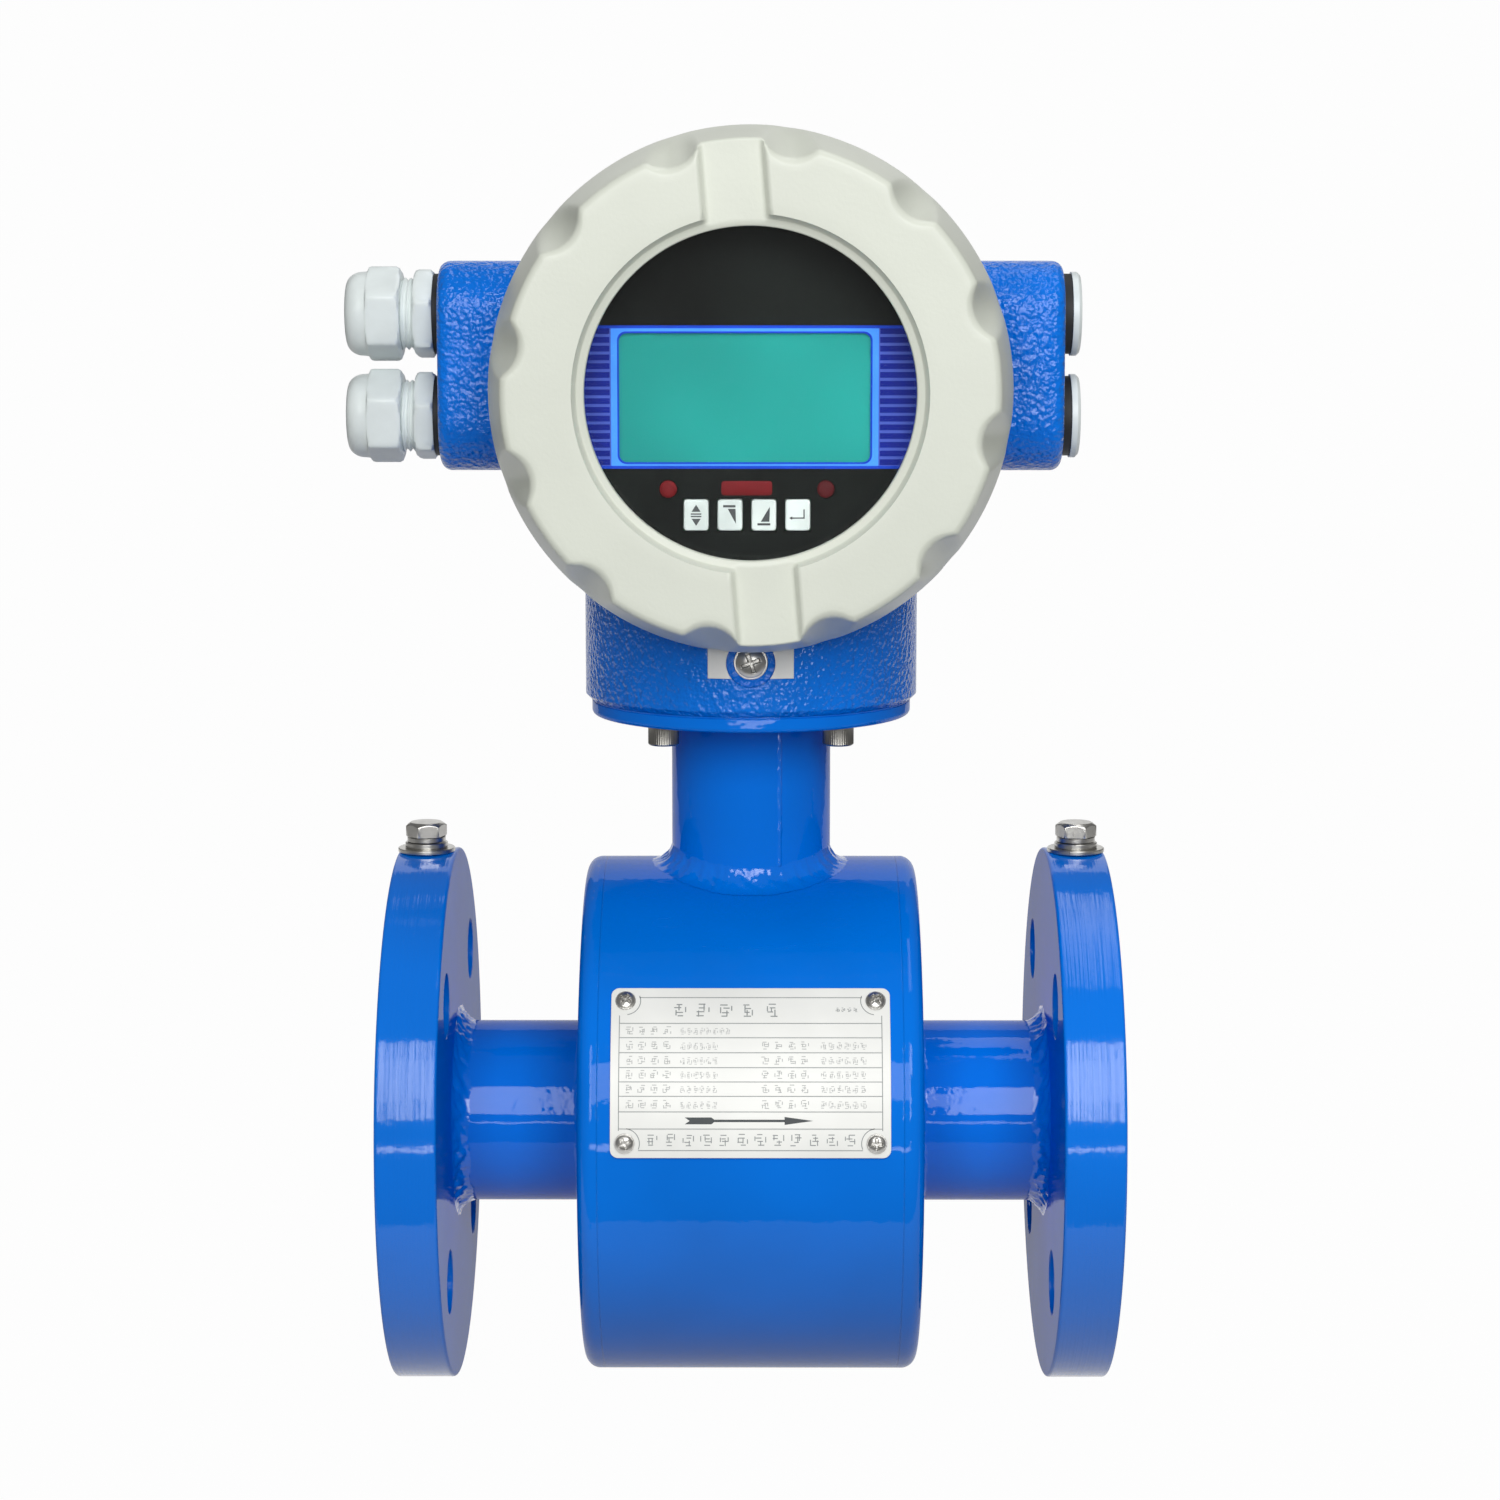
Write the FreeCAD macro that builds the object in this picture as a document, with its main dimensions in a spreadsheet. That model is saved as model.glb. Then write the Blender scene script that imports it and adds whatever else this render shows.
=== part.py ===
import FreeCAD, Part
import os
import re
import Sketcher

# Electromagnetic flow meter, DN 40, flanged, with its converter on a neck above the tube.
# Frame: origin on the pipe axis halfway between the flanges, +X with the flow, +Z up,
# the display faces -Y.  Lengths in millimetres, angles in degrees.

SIZES = {
    # measuring tube, liner and flanges
    "face_to_face": 200.0,
    "tube_diameter": 51.0,
    "tube_wall": 3.0,
    "liner_wall": 2.5,
    "flare_diameter": 84.0,
    "flare_thickness": 3.0,
    "flare_proud": 0.5,
    "flange_diameter": 150.0,
    "flange_thickness": 16.5,
    "flange_chamfer": 0.9,
    "bolt_circle": 110.0,
    "bolt_hole": 18.0,
    "bolt_count": 4,
    "flange_weld": 5.0,
    # coil housing and neck
    "housing_diameter": 145.0,
    "housing_width": 92.5,
    "shell_wall": 3.0,
    "plate_thickness": 5.5,
    "plate_rounding": 4.0,
    "plate_weld": 3.0,
    "neck_diameter": 44.5,
    "neck_wall": 3.0,
    "neck_weld": 4.8,
    "neck_flange_diameter": 89.0,
    "neck_flange_thickness": 3.8,
    "neck_flange_rounding": 1.2,
    "neck_top": 118.6,
    # magnet system and electrodes
    "shoe_gap": 0.3,
    "shoe_thickness": 3.0,
    "shoe_length": 38.0,
    "shoe_angle": 96.0,
    "core_diameter": 18.0,
    "coil_diameter": 46.0,
    "coil_gap": 0.4,
    "band_radius": 57.0,
    "band_thickness": 3.0,
    "band_width": 40.0,
    "electrode_diameter": 5.0,
    "electrode_length": 18.0,
    "bush_diameter": 9.0,
    "bush_collar_diameter": 14.0,
    "bush_collar": 2.4,
    "spring_diameter": 12.0,
    "spring_thickness": 1.2,
    "electrode_nut_flats": 9.0,
    "electrode_nut_height": 4.0,
    # grounding bolts on the flange rims
    "ground_station": 91.6,
    "ground_thread": 6.0,
    "ground_depth": 12.0,
    "ground_head_flats": 10.0,
    "ground_head_height": 4.0,
    "tag_washer_diameter": 16.0,
    "tag_washer_thickness": 1.2,
    "plain_washer_diameter": 12.0,
    "plain_washer_thickness": 1.6,
    "spring_washer_diameter": 10.8,
    "spring_washer_thickness": 1.6,
    # nameplate
    "nameplate_width": 74.3,
    "nameplate_start": 4.4,
    "nameplate_angle": 36.1,
    "nameplate_thickness": 0.8,
    "nameplate_corner": 2.2,
    "rivet_diameter": 5.2,
    "rivet_inset": 3.8,
    # converter housing
    "gasket_thickness": 0.6,
    "gasket_inset": 1.0,
    "head_height": 206.5,
    "drum_diameter": 128.0,
    "drum_margin": 1.75,
    "spigot_radius": 60.0,
    "spigot_length": 12.0,
    "cavity_radius": 54.0,
    "partition_front": 16.0,
    "partition_thickness": 4.0,
    "base_diameter": 92.5,
    "base_chamfer": 1.5,
    "boss_reach": 85.0,
    "boss_height": 57.0,
    "boss_rise": 5.0,
    "boss_depth": 46.0,
    "boss_corner": 14.0,
    "boss_rounding": 3.0,
    "boss_root": 4.0,
    "port_radius": 9.6,
    "port_pitch": 28.0,
    "recess_radius": 26.0,
    "recess_floor": 8.0,
    "lead_hole_radius": 11.0,
    "screw_offset": 23.9,
    "screw_thread": 5.0,
    "screw_depth": 12.0,
    "screw_tip_gap": 1.0,
    "screw_head_diameter": 8.5,
    "screw_head_height": 5.0,
    "screw_socket_flats": 4.0,
    # covers
    "cover_gap": 0.6,
    "cover_radius": 68.5,
    "land_length": 7.4,
    "cover_length": 31.4,
    "cover_rim": 1.5,
    "face_rounding": 2.4,
    "cover_shoulder_gap": 1.0,
    "cover_face_radius": 63.6,
    "cover_thread_gap": 0.4,
    "cover_turn": 4.5,
    "face_inner_radius": 45.4,
    "face_step": 3.0,
    "window_radius": 42.5,
    "lip_thickness": 3.0,
    "notch_count": 12,
    "notch_floor": 59.7,
    "notch_radius": 9.0,
    "notch_run": 23.0,
    "grip_width": 15.0,
    "grip_slope": 1.2,
    "blind_thickness": 5.0,
    "glass_radius": 52.0,
    "glass_thickness": 6.0,
    "glass_gap": 0.3,
    "window_gasket_thickness": 1.0,
    "ring_thickness": 4.0,
    "ring_width": 6.5,
    "seal_section": 2.2,
    "seal_gap": 0.3,
    # display and electronics
    "panel_radius": 51.0,
    "panel_proud": 1.0,
    "panel_thickness": 1.5,
    "board_radius": 48.5,
    "board_thickness": 1.6,
    "board_clearance": 7.5,
    "main_board_front": 32.0,
    "terminal_board_face": 24.0,
    "pillar_radius": 3.0,
    "pillar_circle": 44.0,
    "screen_width": 66.0,
    "screen_height": 34.0,
    "screen_across": -1.5,
    "screen_up": -1.4,
    "screen_set_back": 0.8,
    "key_width": 6.5,
    "key_height": 8.1,
    "key_pitch": 8.8,
    "key_across": -0.95,
    "key_up": -31.7,
    "key_proud": 1.2,
    "key_gap": 0.2,
    "lamp_diameter": 5.0,
    "lamp_left": -21.4,
    "lamp_right": 19.5,
    "lamp_up": -25.0,
    "lamp_proud": 0.4,
    "infrared_width": 13.7,
    "infrared_height": 4.4,
    "infrared_across": -1.0,
    "terminal_count": 10,
    "terminal_pitch": 7.0,
    "terminal_depth": 12.0,
    "terminal_height": 14.0,
    # cable glands and blanking plugs
    "gland_thread_gap": 0.2,
    "gland_washer_diameter": 22.0,
    "gland_washer_thickness": 2.3,
    "gland_flats": 22.0,
    "gland_hex_height": 5.3,
    "gland_bore_radius": 6.5,
    "gland_inner_reach": 15.0,
    "gland_neck": 3.6,
    "gland_nut_flats": 23.0,
    "gland_nut_hex": 11.0,
    "gland_dome": 4.2,
    "gland_tip_radius": 8.5,
    "gland_engagement": 8.0,
    "gland_mouth_radius": 5.8,
    "insert_bore_radius": 4.2,
    "insert_collar": 2.0,
    "insert_gap": 0.3,
    "plug_washer_thickness": 3.0,
    "plug_cap_diameter": 23.0,
    "plug_cap_thickness": 2.4,
    "plug_inner_reach": 13.0,
    # earth screw and its label
    "earth_drop": 1.85,
    "earth_recess_radius": 6.6,
    "earth_recess_depth": 1.5,
    "earth_head_diameter": 8.0,
    "earth_head_height": 2.6,
    "earth_thread": 4.0,
    "earth_depth": 8.0,
    "label_width": 23.0,
    "label_below": 4.2,
    "label_above": 8.0,
    "label_thickness": 0.4,
    # running and assembly clearance between round pieces
    "slip": 0.1,
}

# Lengths that follow from the sizes above.
FORMULAS = {
    "half_length": "face_to_face / 2",
    "tube_radius": "tube_diameter / 2",
    "tube_bore": "tube_radius - tube_wall",
    "flow_bore": "tube_bore - liner_wall",
    "seat_station": "half_length - flare_thickness",
    "flange_front": "half_length - flare_proud",
    "flange_back": "flange_front - flange_thickness",
    "flange_radius": "flange_diameter / 2",
    "housing_radius": "housing_diameter / 2",
    "housing_half": "housing_width / 2",
    "shell_half": "housing_half - plate_thickness",
    "neck_radius": "neck_diameter / 2",
    "neck_flange_base": "neck_top - neck_flange_thickness",
    "shoe_inner": "tube_radius + shoe_gap",
    "shoe_outer": "shoe_inner + shoe_thickness",
    "core_top": "sqrt(band_radius * band_radius - core_diameter * core_diameter / 4) - shoe_gap",
    "coil_bottom": "shoe_outer + coil_gap",
    "coil_top": "sqrt(band_radius * band_radius - coil_diameter * coil_diameter / 4) - coil_gap",
    "electrode_start": "flow_bore + slip",
    "bush_seat": "tube_radius + slip",
    "spring_seat": "bush_seat + bush_collar",
    "nut_seat": "spring_seat + spring_thickness",
    "plain_washer_seat": "flange_radius + tag_washer_thickness",
    "spring_washer_seat": "plain_washer_seat + plain_washer_thickness",
    "ground_head_seat": "spring_washer_seat + spring_washer_thickness",
    "base_height": "neck_top + gasket_thickness",
    "base_drop": "head_height - base_height",
    "base_radius": "base_diameter / 2",
    "drum_radius": "drum_diameter / 2",
    "drum_half_depth": "base_radius + drum_margin",
    "recess_depth": "base_drop - cavity_radius - recess_floor",
    "screw_circle": "screw_offset * sqrt(2)",
    "cover_back": "drum_half_depth + cover_gap",
    "cover_land": "cover_back + land_length",
    "cover_front": "cover_back + cover_length",
    "spigot_end": "drum_half_depth + spigot_length",
    "thread_bore": "spigot_radius + cover_thread_gap",
    "face_floor": "cover_front - face_step",
    "glass_seat": "face_floor - lip_thickness",
    "glass_front": "glass_seat - window_gasket_thickness",
    "glass_back": "glass_front - glass_thickness",
    "glass_bore": "glass_radius + glass_gap",
    "seal_centre": "drum_half_depth + seal_gap + seal_section / 2",
    "seal_radius": "spigot_radius + seal_gap + seal_section / 2",
    "notch_slope": "(cover_radius - notch_floor) / notch_run",
    "cover_shoulder": "spigot_end + cover_shoulder_gap",
    "panel_front": "spigot_end + panel_proud",
    "panel_back": "panel_front - panel_thickness",
    "display_board_front": "panel_back - board_clearance",
    "port_low": "boss_rise - port_pitch / 2",
    "port_high": "boss_rise + port_pitch / 2",
    "gland_thread": "port_radius - gland_thread_gap",
    "gland_hex_seat": "boss_reach + gland_washer_thickness",
    "gland_hex_end": "gland_hex_seat + gland_hex_height",
    "gland_nut_start": "gland_hex_end + gland_neck",
    "gland_body_end": "gland_nut_start + gland_engagement",
    "gland_nut_shoulder": "gland_nut_start + gland_nut_hex",
    "gland_nut_end": "gland_nut_shoulder + gland_dome",
    "insert_seat": "gland_body_end + insert_gap",
    "insert_end": "insert_seat + insert_collar",
    "gland_nut_floor": "insert_end + insert_gap",
    "plug_seat": "boss_reach + plug_washer_thickness",
    "earth_height": "(base_height + head_height - cavity_radius) / 2 - earth_drop",
    "label_bottom": "earth_height - label_below",
    "label_top": "earth_height + label_above",
    "label_radius": "base_radius + slip",
}

doc = FreeCAD.newDocument("flow_meter")
sheet = doc.addObject("Spreadsheet::Sheet", "Sizes")
sub_parts = []

# How a piece's own +Z axis is turned in the assembly: rotation axis and angle.
TURNS = {
    "Z": ("1; 0; 0", "0"),
    "X": ("0; 1; 0", "90"),
    "-X": ("0; 1; 0", "-90"),
    "Y": ("1; 0; 0", "-90"),
    "-Y": ("1; 0; 0", "90"),
}


def fill_sheet():
    """Write every driving size into the spreadsheet under its own alias."""
    for row, (name, size) in enumerate(SIZES.items(), start=1):
        sheet.set(f"A{row}", name)
        sheet.set(f"B{row}", str(size))
        sheet.setAlias(f"B{row}", name)
    doc.recompute()


def term(word):
    """One name of a formula as the expression engine reads it."""
    if word in FORMULAS:
        return "(" + ref(FORMULAS[word]) + ")"
    if word in SIZES:
        return "Sizes." + word
    return word


def ref(formula):
    """A formula of plain names as an expression that reads the sheet."""
    return re.sub(r"[a-z_]+", lambda found: term(found.group()), str(formula))


def number(formula):
    """The present value of a formula."""
    return float(sheet.evalExpression(ref(formula)))


def bind(item, **sizes):
    """Tie properties of an object to formulas."""
    for name, formula in sizes.items():
        item.setExpression(name, ref(formula))


def place(item, at=("0", "0", "0"), along="Z", spin="0"):
    """Put an object's own +Z axis along a direction, turned about it by spin."""
    axis, angle = TURNS[along]
    where = "; ".join(ref(formula) for formula in at)
    turn = f"rotation(vector({axis}); {angle}) * rotation(vector(0; 0; 1); {ref(spin)})"
    item.setExpression("Placement", f"placement(vector({where}); {turn})")


def sub_part(item, label):
    """Name an object as a sub-part of the assembly."""
    item.Label = label
    sub_parts.append(item)
    return item


# Sketches --------------------------------------------------------------------------------


def origin_feature(body, role):
    """One of a body's own origin planes or axes."""
    return next(item for item in body.Origin.OriginFeatures if item.Role == role)


def new_sketch(body, plane="XY_Plane", offset="0"):
    """An empty sketch on one of the body's planes, moved along the plane's normal."""
    sketch = body.newObject("Sketcher::SketchObject", "Sketch")
    sketch.AttachmentSupport = [(origin_feature(body, plane), "")]
    sketch.MapMode = "FlatFace"
    sketch.setExpression("AttachmentOffset.Base.z", ref(offset))
    return sketch


def pin_point(sketch, geometry, point, across, up):
    """Hold a point of a sketch at two formulas from the origin."""
    for kind, formula in (("DistanceX", across), ("DistanceY", up)):
        row = sketch.addConstraint(Sketcher.Constraint(kind, -1, 1, geometry, point, number(formula)))
        sketch.setExpression(f"Constraints[{row}]", ref(formula))


def draw_outline(sketch, points):
    """A closed outline of straight lines through points given as formulas."""
    places = [FreeCAD.Vector(number(across), number(up), 0) for across, up in points]
    first = sketch.GeometryCount
    count = len(points)
    for i in range(count):
        sketch.addGeometry(Part.LineSegment(places[i], places[(i + 1) % count]), False)
    for i in range(count):
        following = first + (i + 1) % count
        sketch.addConstraint(Sketcher.Constraint("Coincident", first + i, 2, following, 1))
    for i, (across, up) in enumerate(points):
        pin_point(sketch, first + i, 1, across, up)


def draw_box(sketch, centre, width, height):
    """An upright rectangle about a centre."""
    across, up = centre
    left, right = f"{across} - ({width}) / 2", f"{across} + ({width}) / 2"
    low, high = f"{up} - ({height}) / 2", f"{up} + ({height}) / 2"
    draw_outline(sketch, [(left, low), (right, low), (right, high), (left, high)])


def draw_circle(sketch, centre, radius):
    """A circle about a centre given as formulas."""
    middle = FreeCAD.Vector(number(centre[0]), number(centre[1]), 0)
    circle = sketch.addGeometry(Part.Circle(middle, FreeCAD.Vector(0, 0, 1), number(radius)), False)
    row = sketch.addConstraint(Sketcher.Constraint("Radius", circle, number(radius)))
    sketch.setExpression(f"Constraints[{row}]", ref(radius))
    pin_point(sketch, circle, 3, *centre)


# Features --------------------------------------------------------------------------------


def new_body():
    """An empty body."""
    return doc.addObject("PartDesign::Body", "Body")


def revolve(body, points, plane="XZ_Plane", kind="Revolution"):
    """Turn an outline of (radius, station) points about the plane's vertical axis."""
    sketch = new_sketch(body, plane)
    draw_outline(sketch, points)
    feature = body.newObject("PartDesign::" + kind, kind)
    feature.Profile = sketch
    feature.ReferenceAxis = (sketch, ["V_Axis"])
    feature.Angle = 360
    return feature


def pad(body, sketch, length, midplane=False):
    """Raise a sketch into material."""
    feature = body.newObject("PartDesign::Pad", "Pad")
    feature.Profile = sketch
    feature.SideType = "Symmetric" if midplane else "One side"
    bind(feature, Length=length)
    return feature


def pocket(body, sketch, length, reversed_way=False, midplane=False):
    """Cut a sketch out of the body, and make sure that it cuts."""
    doc.recompute()
    before = body.Shape.Volume
    feature = body.newObject("PartDesign::Pocket", "Pocket")
    feature.Profile = sketch
    feature.SideType = "Symmetric" if midplane else "One side"
    feature.Reversed = reversed_way
    bind(feature, Length=length)
    doc.recompute()
    if body.Shape.Volume >= before:
        raise ValueError(f"a pocket in {body.Label} cuts nothing")
    return feature


def ring_pattern(body, feature, count):
    """Repeat a feature evenly about the body's own Z axis."""
    pattern = body.newObject("PartDesign::PolarPattern", "PolarPattern")
    pattern.Originals = [feature]
    pattern.Axis = (origin_feature(body, "Z_Axis"), [""])
    pattern.Angle = 360
    bind(pattern, Occurrences=count)
    body.Tip = pattern
    return pattern


def edges_where(shape, test):
    """The names of the edges for which a test holds."""
    return [f"Edge{i}" for i, edge in enumerate(shape.Edges, start=1) if test(edge)]


def round_edges(body, radius, test, kind="Fillet"):
    """Fillet or chamfer the edges of the body's last feature that pass a test."""
    doc.recompute()
    base = body.Tip
    names = edges_where(base.Shape, test)
    if not names:
        raise ValueError(f"no edge to round in {body.Label}")
    feature = body.newObject("PartDesign::" + kind, kind)
    feature.Base = (base, names)
    bind(feature, **{"Radius" if kind == "Fillet" else "Size": radius})
    doc.recompute()
    return feature


def rim_edge(radius, station):
    """A test for the circular edge of a radius at a station on the Z axis."""
    wanted, height = number(radius), number(station)

    def test(edge):
        if not isinstance(edge.Curve, Part.Circle):
            return False
        middle = edge.Curve.Center
        on_axis = abs(middle.x) < 1e-3 and abs(middle.y) < 1e-3
        return on_axis and abs(edge.Curve.Radius - wanted) < 1e-3 and abs(middle.z - height) < 1e-3

    return test


def turned(points, **where):
    """A body turned about its own Z axis from (radius, station) points."""
    body = new_body()
    revolve(body, points)
    place(body, **where)
    return body


def ring(inner, outer, low, high, **where):
    """A plain turned ring, sleeve or washer."""
    return turned([(inner, low), (outer, low), (outer, high), (inner, high)], **where)


def cylinder(radius, length, angle="360", **where):
    """A plain cylinder or sector from its base upward."""
    item = doc.addObject("Part::Cylinder", "Cylinder")
    bind(item, Radius=radius, Height=length, Angle=angle)
    place(item, **where)
    return item


def hexagon(flats, length, **where):
    """A hexagonal bar of a width across flats."""
    item = doc.addObject("Part::Prism", "Hexagon")
    item.Polygon = 6
    bind(item, Circumradius=f"({flats}) / 2 / cos(30)", Height=length)
    place(item, **where)
    return item


def block(width, depth, height, **where):
    """A rectangular block from its lowest corner."""
    item = doc.addObject("Part::Box", "Block")
    bind(item, Length=width, Width=depth, Height=height)
    place(item, **where)
    return item


def cut(base, tool):
    """One shape less another."""
    item = doc.addObject("Part::Cut", "Cut")
    item.Base = base
    item.Tool = tool
    return item


def fuse(*shapes):
    """Several shapes as one."""
    item = doc.addObject("Part::MultiFuse", "Fuse")
    item.Shapes = list(shapes)
    return item


def common(first, second):
    """What two shapes share."""
    item = doc.addObject("Part::MultiCommon", "Common")
    item.Shapes = [first, second]
    return item


def group(pieces, label):
    """Identical separate pieces under one name."""
    item = doc.addObject("Part::Compound", "Group")
    item.Links = pieces
    return sub_part(item, label)


# Sensor ----------------------------------------------------------------------------------


def electrode_hole(body, radius):
    """The cross hole for both electrodes, along the body's own Y axis."""
    sketch = new_sketch(body, "XZ_Plane")
    draw_circle(sketch, ("0", "0"), radius)
    pocket(body, sketch, "tube_diameter * 2", midplane=True)


def make_tube():
    """The stainless measuring tube, welded into both flanges."""
    body = ring("tube_bore", "tube_radius", "-(seat_station)", "seat_station", along="X")
    electrode_hole(body, "bush_diameter / 2 + slip")
    sub_part(body, "measuring_tube")


def make_liner():
    """The liner, flared over both flange faces."""
    flare = "flare_diameter / 2"
    body = turned([
        ("flow_bore", "-(half_length)"),
        (flare, "-(half_length)"),
        (flare, "-(seat_station)"),
        ("tube_bore", "-(seat_station)"),
        ("tube_bore", "seat_station"),
        (flare, "seat_station"),
        (flare, "half_length"),
        ("flow_bore", "half_length"),
    ], along="X")
    electrode_hole(body, "electrode_diameter / 2 + slip")
    sub_part(body, "tube_liner")


def make_flange(label, along, spin):
    """A flange with a seat for the liner's flare, four bolt holes and a tapped hole on top."""
    bore, seat = "tube_radius + slip", "flare_diameter / 2 + slip"
    body = turned([
        (bore, "flange_back"),
        ("flange_radius", "flange_back"),
        ("flange_radius", "flange_front"),
        (seat, "flange_front"),
        (seat, "seat_station"),
        (bore, "seat_station"),
    ], along=along, spin=spin)
    for station in ("flange_back", "flange_front"):
        round_edges(body, "flange_chamfer", rim_edge("flange_radius", station))
    sketch = new_sketch(body, "XY_Plane", "flange_front")
    reach = "bolt_circle / 2 * cos(45)"
    draw_circle(sketch, (reach, reach), "bolt_hole / 2")
    hole = pocket(body, sketch, "flange_thickness")
    ring_pattern(body, hole, "bolt_count")
    sketch = new_sketch(body, "YZ_Plane", "flange_radius - ground_depth")
    draw_circle(sketch, ("0", "ground_station"), "ground_thread / 2 + slip")
    pocket(body, sketch, "ground_depth", reversed_way=True)
    sub_part(body, label)


def make_coil_housing():
    """The rolled shell with its neck hole, and the two end plates welded to it."""
    shell = ring(
        "housing_radius - shell_wall", "housing_radius", "-(shell_half)", "shell_half", along="-X"
    )
    sketch = new_sketch(shell, "YZ_Plane")
    draw_circle(sketch, ("0", "0"), "neck_radius - neck_wall")
    pocket(shell, sketch, "housing_radius", reversed_way=True)
    sub_part(shell, "coil_housing_shell")
    for label, along in (("left_end_plate", "-X"), ("right_end_plate", "X")):
        plate = ring("tube_radius + slip", "housing_radius", "shell_half", "housing_half", along=along)
        round_edges(plate, "plate_rounding", rim_edge("housing_radius", "housing_half"))
        sub_part(plate, label)


def make_neck():
    """The neck tube, cut to the shell's curve, and its flange."""
    tube = cut(
        cylinder("neck_radius", "neck_top"),
        cylinder("neck_radius - neck_wall", "neck_top"),
    )
    shell = cylinder("housing_radius", "housing_width", at=("-(housing_half)", "0", "0"), along="X")
    sub_part(cut(tube, shell), "neck_tube")
    flange = ring("neck_radius + slip", "neck_flange_diameter / 2", "neck_flange_base", "neck_top")
    edge = rim_edge("neck_flange_diameter / 2", "neck_flange_base")
    round_edges(flange, "neck_flange_rounding", edge)
    screw_holes(flange, "neck_top", "neck_flange_thickness", "screw_thread / 2 + 2 * slip")
    sub_part(flange, "neck_flange")


def screw_holes(body, height, depth, radius):
    """Four holes on the square pattern of the converter's screws, downward from a height."""
    sketch = new_sketch(body, "XY_Plane", height)
    draw_circle(sketch, ("screw_offset", "screw_offset"), radius)
    hole = pocket(body, sketch, depth)
    ring_pattern(body, hole, "4")


def fillet_bead(radius, station, leg, along):
    """A weld bead in the corner between a tube and a plate that faces the middle."""
    return turned([
        (radius, station),
        (f"{radius} + {leg}", station),
        (f"{radius} + {leg} * 0.55", f"{station} - {leg} * 0.55"),
        (radius, f"{station} - {leg}"),
    ], along=along)


def make_weld_beads():
    """The beads at the flanges, the end plates and the foot of the neck."""
    beads = []
    for along in ("-X", "X"):
        beads.append(fillet_bead("tube_radius", "flange_back", "flange_weld", along))
        beads.append(turned([
            ("tube_radius", "housing_half"),
            ("tube_radius + plate_weld", "housing_half"),
            ("tube_radius", "housing_half + plate_weld"),
        ], along=along))
    rise = "sqrt(housing_radius * housing_radius - neck_radius * neck_radius)"
    collar = turned([
        ("neck_radius", f"{rise} - neck_weld"),
        ("neck_radius + neck_weld * 1.3", f"{rise} - neck_weld"),
        ("neck_radius + neck_weld", "housing_radius"),
        ("neck_radius + neck_weld * 0.4", "housing_radius + neck_weld * 0.4"),
        ("neck_radius", "housing_radius + neck_weld"),
    ])
    shell = cylinder("housing_radius", "housing_width", at=("-(housing_half)", "0", "0"), along="X")
    beads.append(cut(collar, shell))
    group(beads, "weld_beads")


def make_magnet():
    """Two coils on their pole shoes, inside the band that returns the field."""
    for label, along in (("upper", "Z"), ("lower", "-Z")):
        start = "90 - shoe_angle / 2" if label == "upper" else "270 - shoe_angle / 2"
        ends = {"at": ("-shoe_length / 2", "0", "0"), "along": "X", "spin": f"{start} + 90"}
        saddle = cut(
            cylinder("shoe_outer", "shoe_length", "shoe_angle", **ends),
            cylinder("shoe_inner", "shoe_length", "shoe_angle", **ends),
        )
        core = cylinder("core_diameter / 2", "core_top - shoe_outer + shoe_thickness / 2",
                        at=("0", "0", "shoe_outer - shoe_thickness / 2"))
        coil = ring("core_diameter / 2 + coil_gap", "coil_diameter / 2", "coil_bottom", "coil_top")
        if label == "lower":
            core = flipped(core)
            coil = flipped(coil)
        sub_part(fuse(saddle, core), label + "_pole_shoe")
        sub_part(coil, label + "_coil")
    band = ring("band_radius", "band_radius + band_thickness", "-band_width / 2", "band_width / 2",
                along="X")
    sub_part(band, "flux_return_band")


def flipped(source):
    """A shape mirrored below the pipe axis."""
    item = doc.addObject("Part::Mirroring", "Mirror")
    item.Source = source
    item.Normal = (0, 0, 1)
    return item


def make_electrodes():
    """Front and rear electrodes with their bushes, springs and nuts."""
    bushes, springs, nuts = [], [], []
    shank = "electrode_diameter / 2"
    clear = "electrode_diameter / 2 + slip"
    for label, along in (("front_electrode", "-Y"), ("rear_electrode", "Y")):
        rod = cylinder(shank, "electrode_length", at=electrode_base(along), along=along)
        sub_part(rod, label)
        bushes.append(turned([
            (clear, "tube_bore + slip"),
            ("bush_diameter / 2", "tube_bore + slip"),
            ("bush_diameter / 2", "bush_seat"),
            ("bush_collar_diameter / 2", "bush_seat"),
            ("bush_collar_diameter / 2", "spring_seat"),
            (clear, "spring_seat"),
        ], along=along))
        springs.append(ring(clear, "spring_diameter / 2", "spring_seat", "nut_seat", along=along))
        side = "-" if along == "-Y" else ""
        seat = ("0", f"{side}(nut_seat)", "0")
        nuts.append(cut(
            hexagon("electrode_nut_flats", "electrode_nut_height", at=seat, along=along),
            cylinder(clear, "electrode_nut_height", at=seat, along=along),
        ))
    group(bushes, "electrode_bushes")
    group(springs, "electrode_springs")
    group(nuts, "electrode_nuts")


def electrode_base(along):
    """Where an electrode starts, level with the liner's bore."""
    side = "-" if along == "-Y" else ""
    return ("0", f"{side}(electrode_start)", "0")


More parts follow.
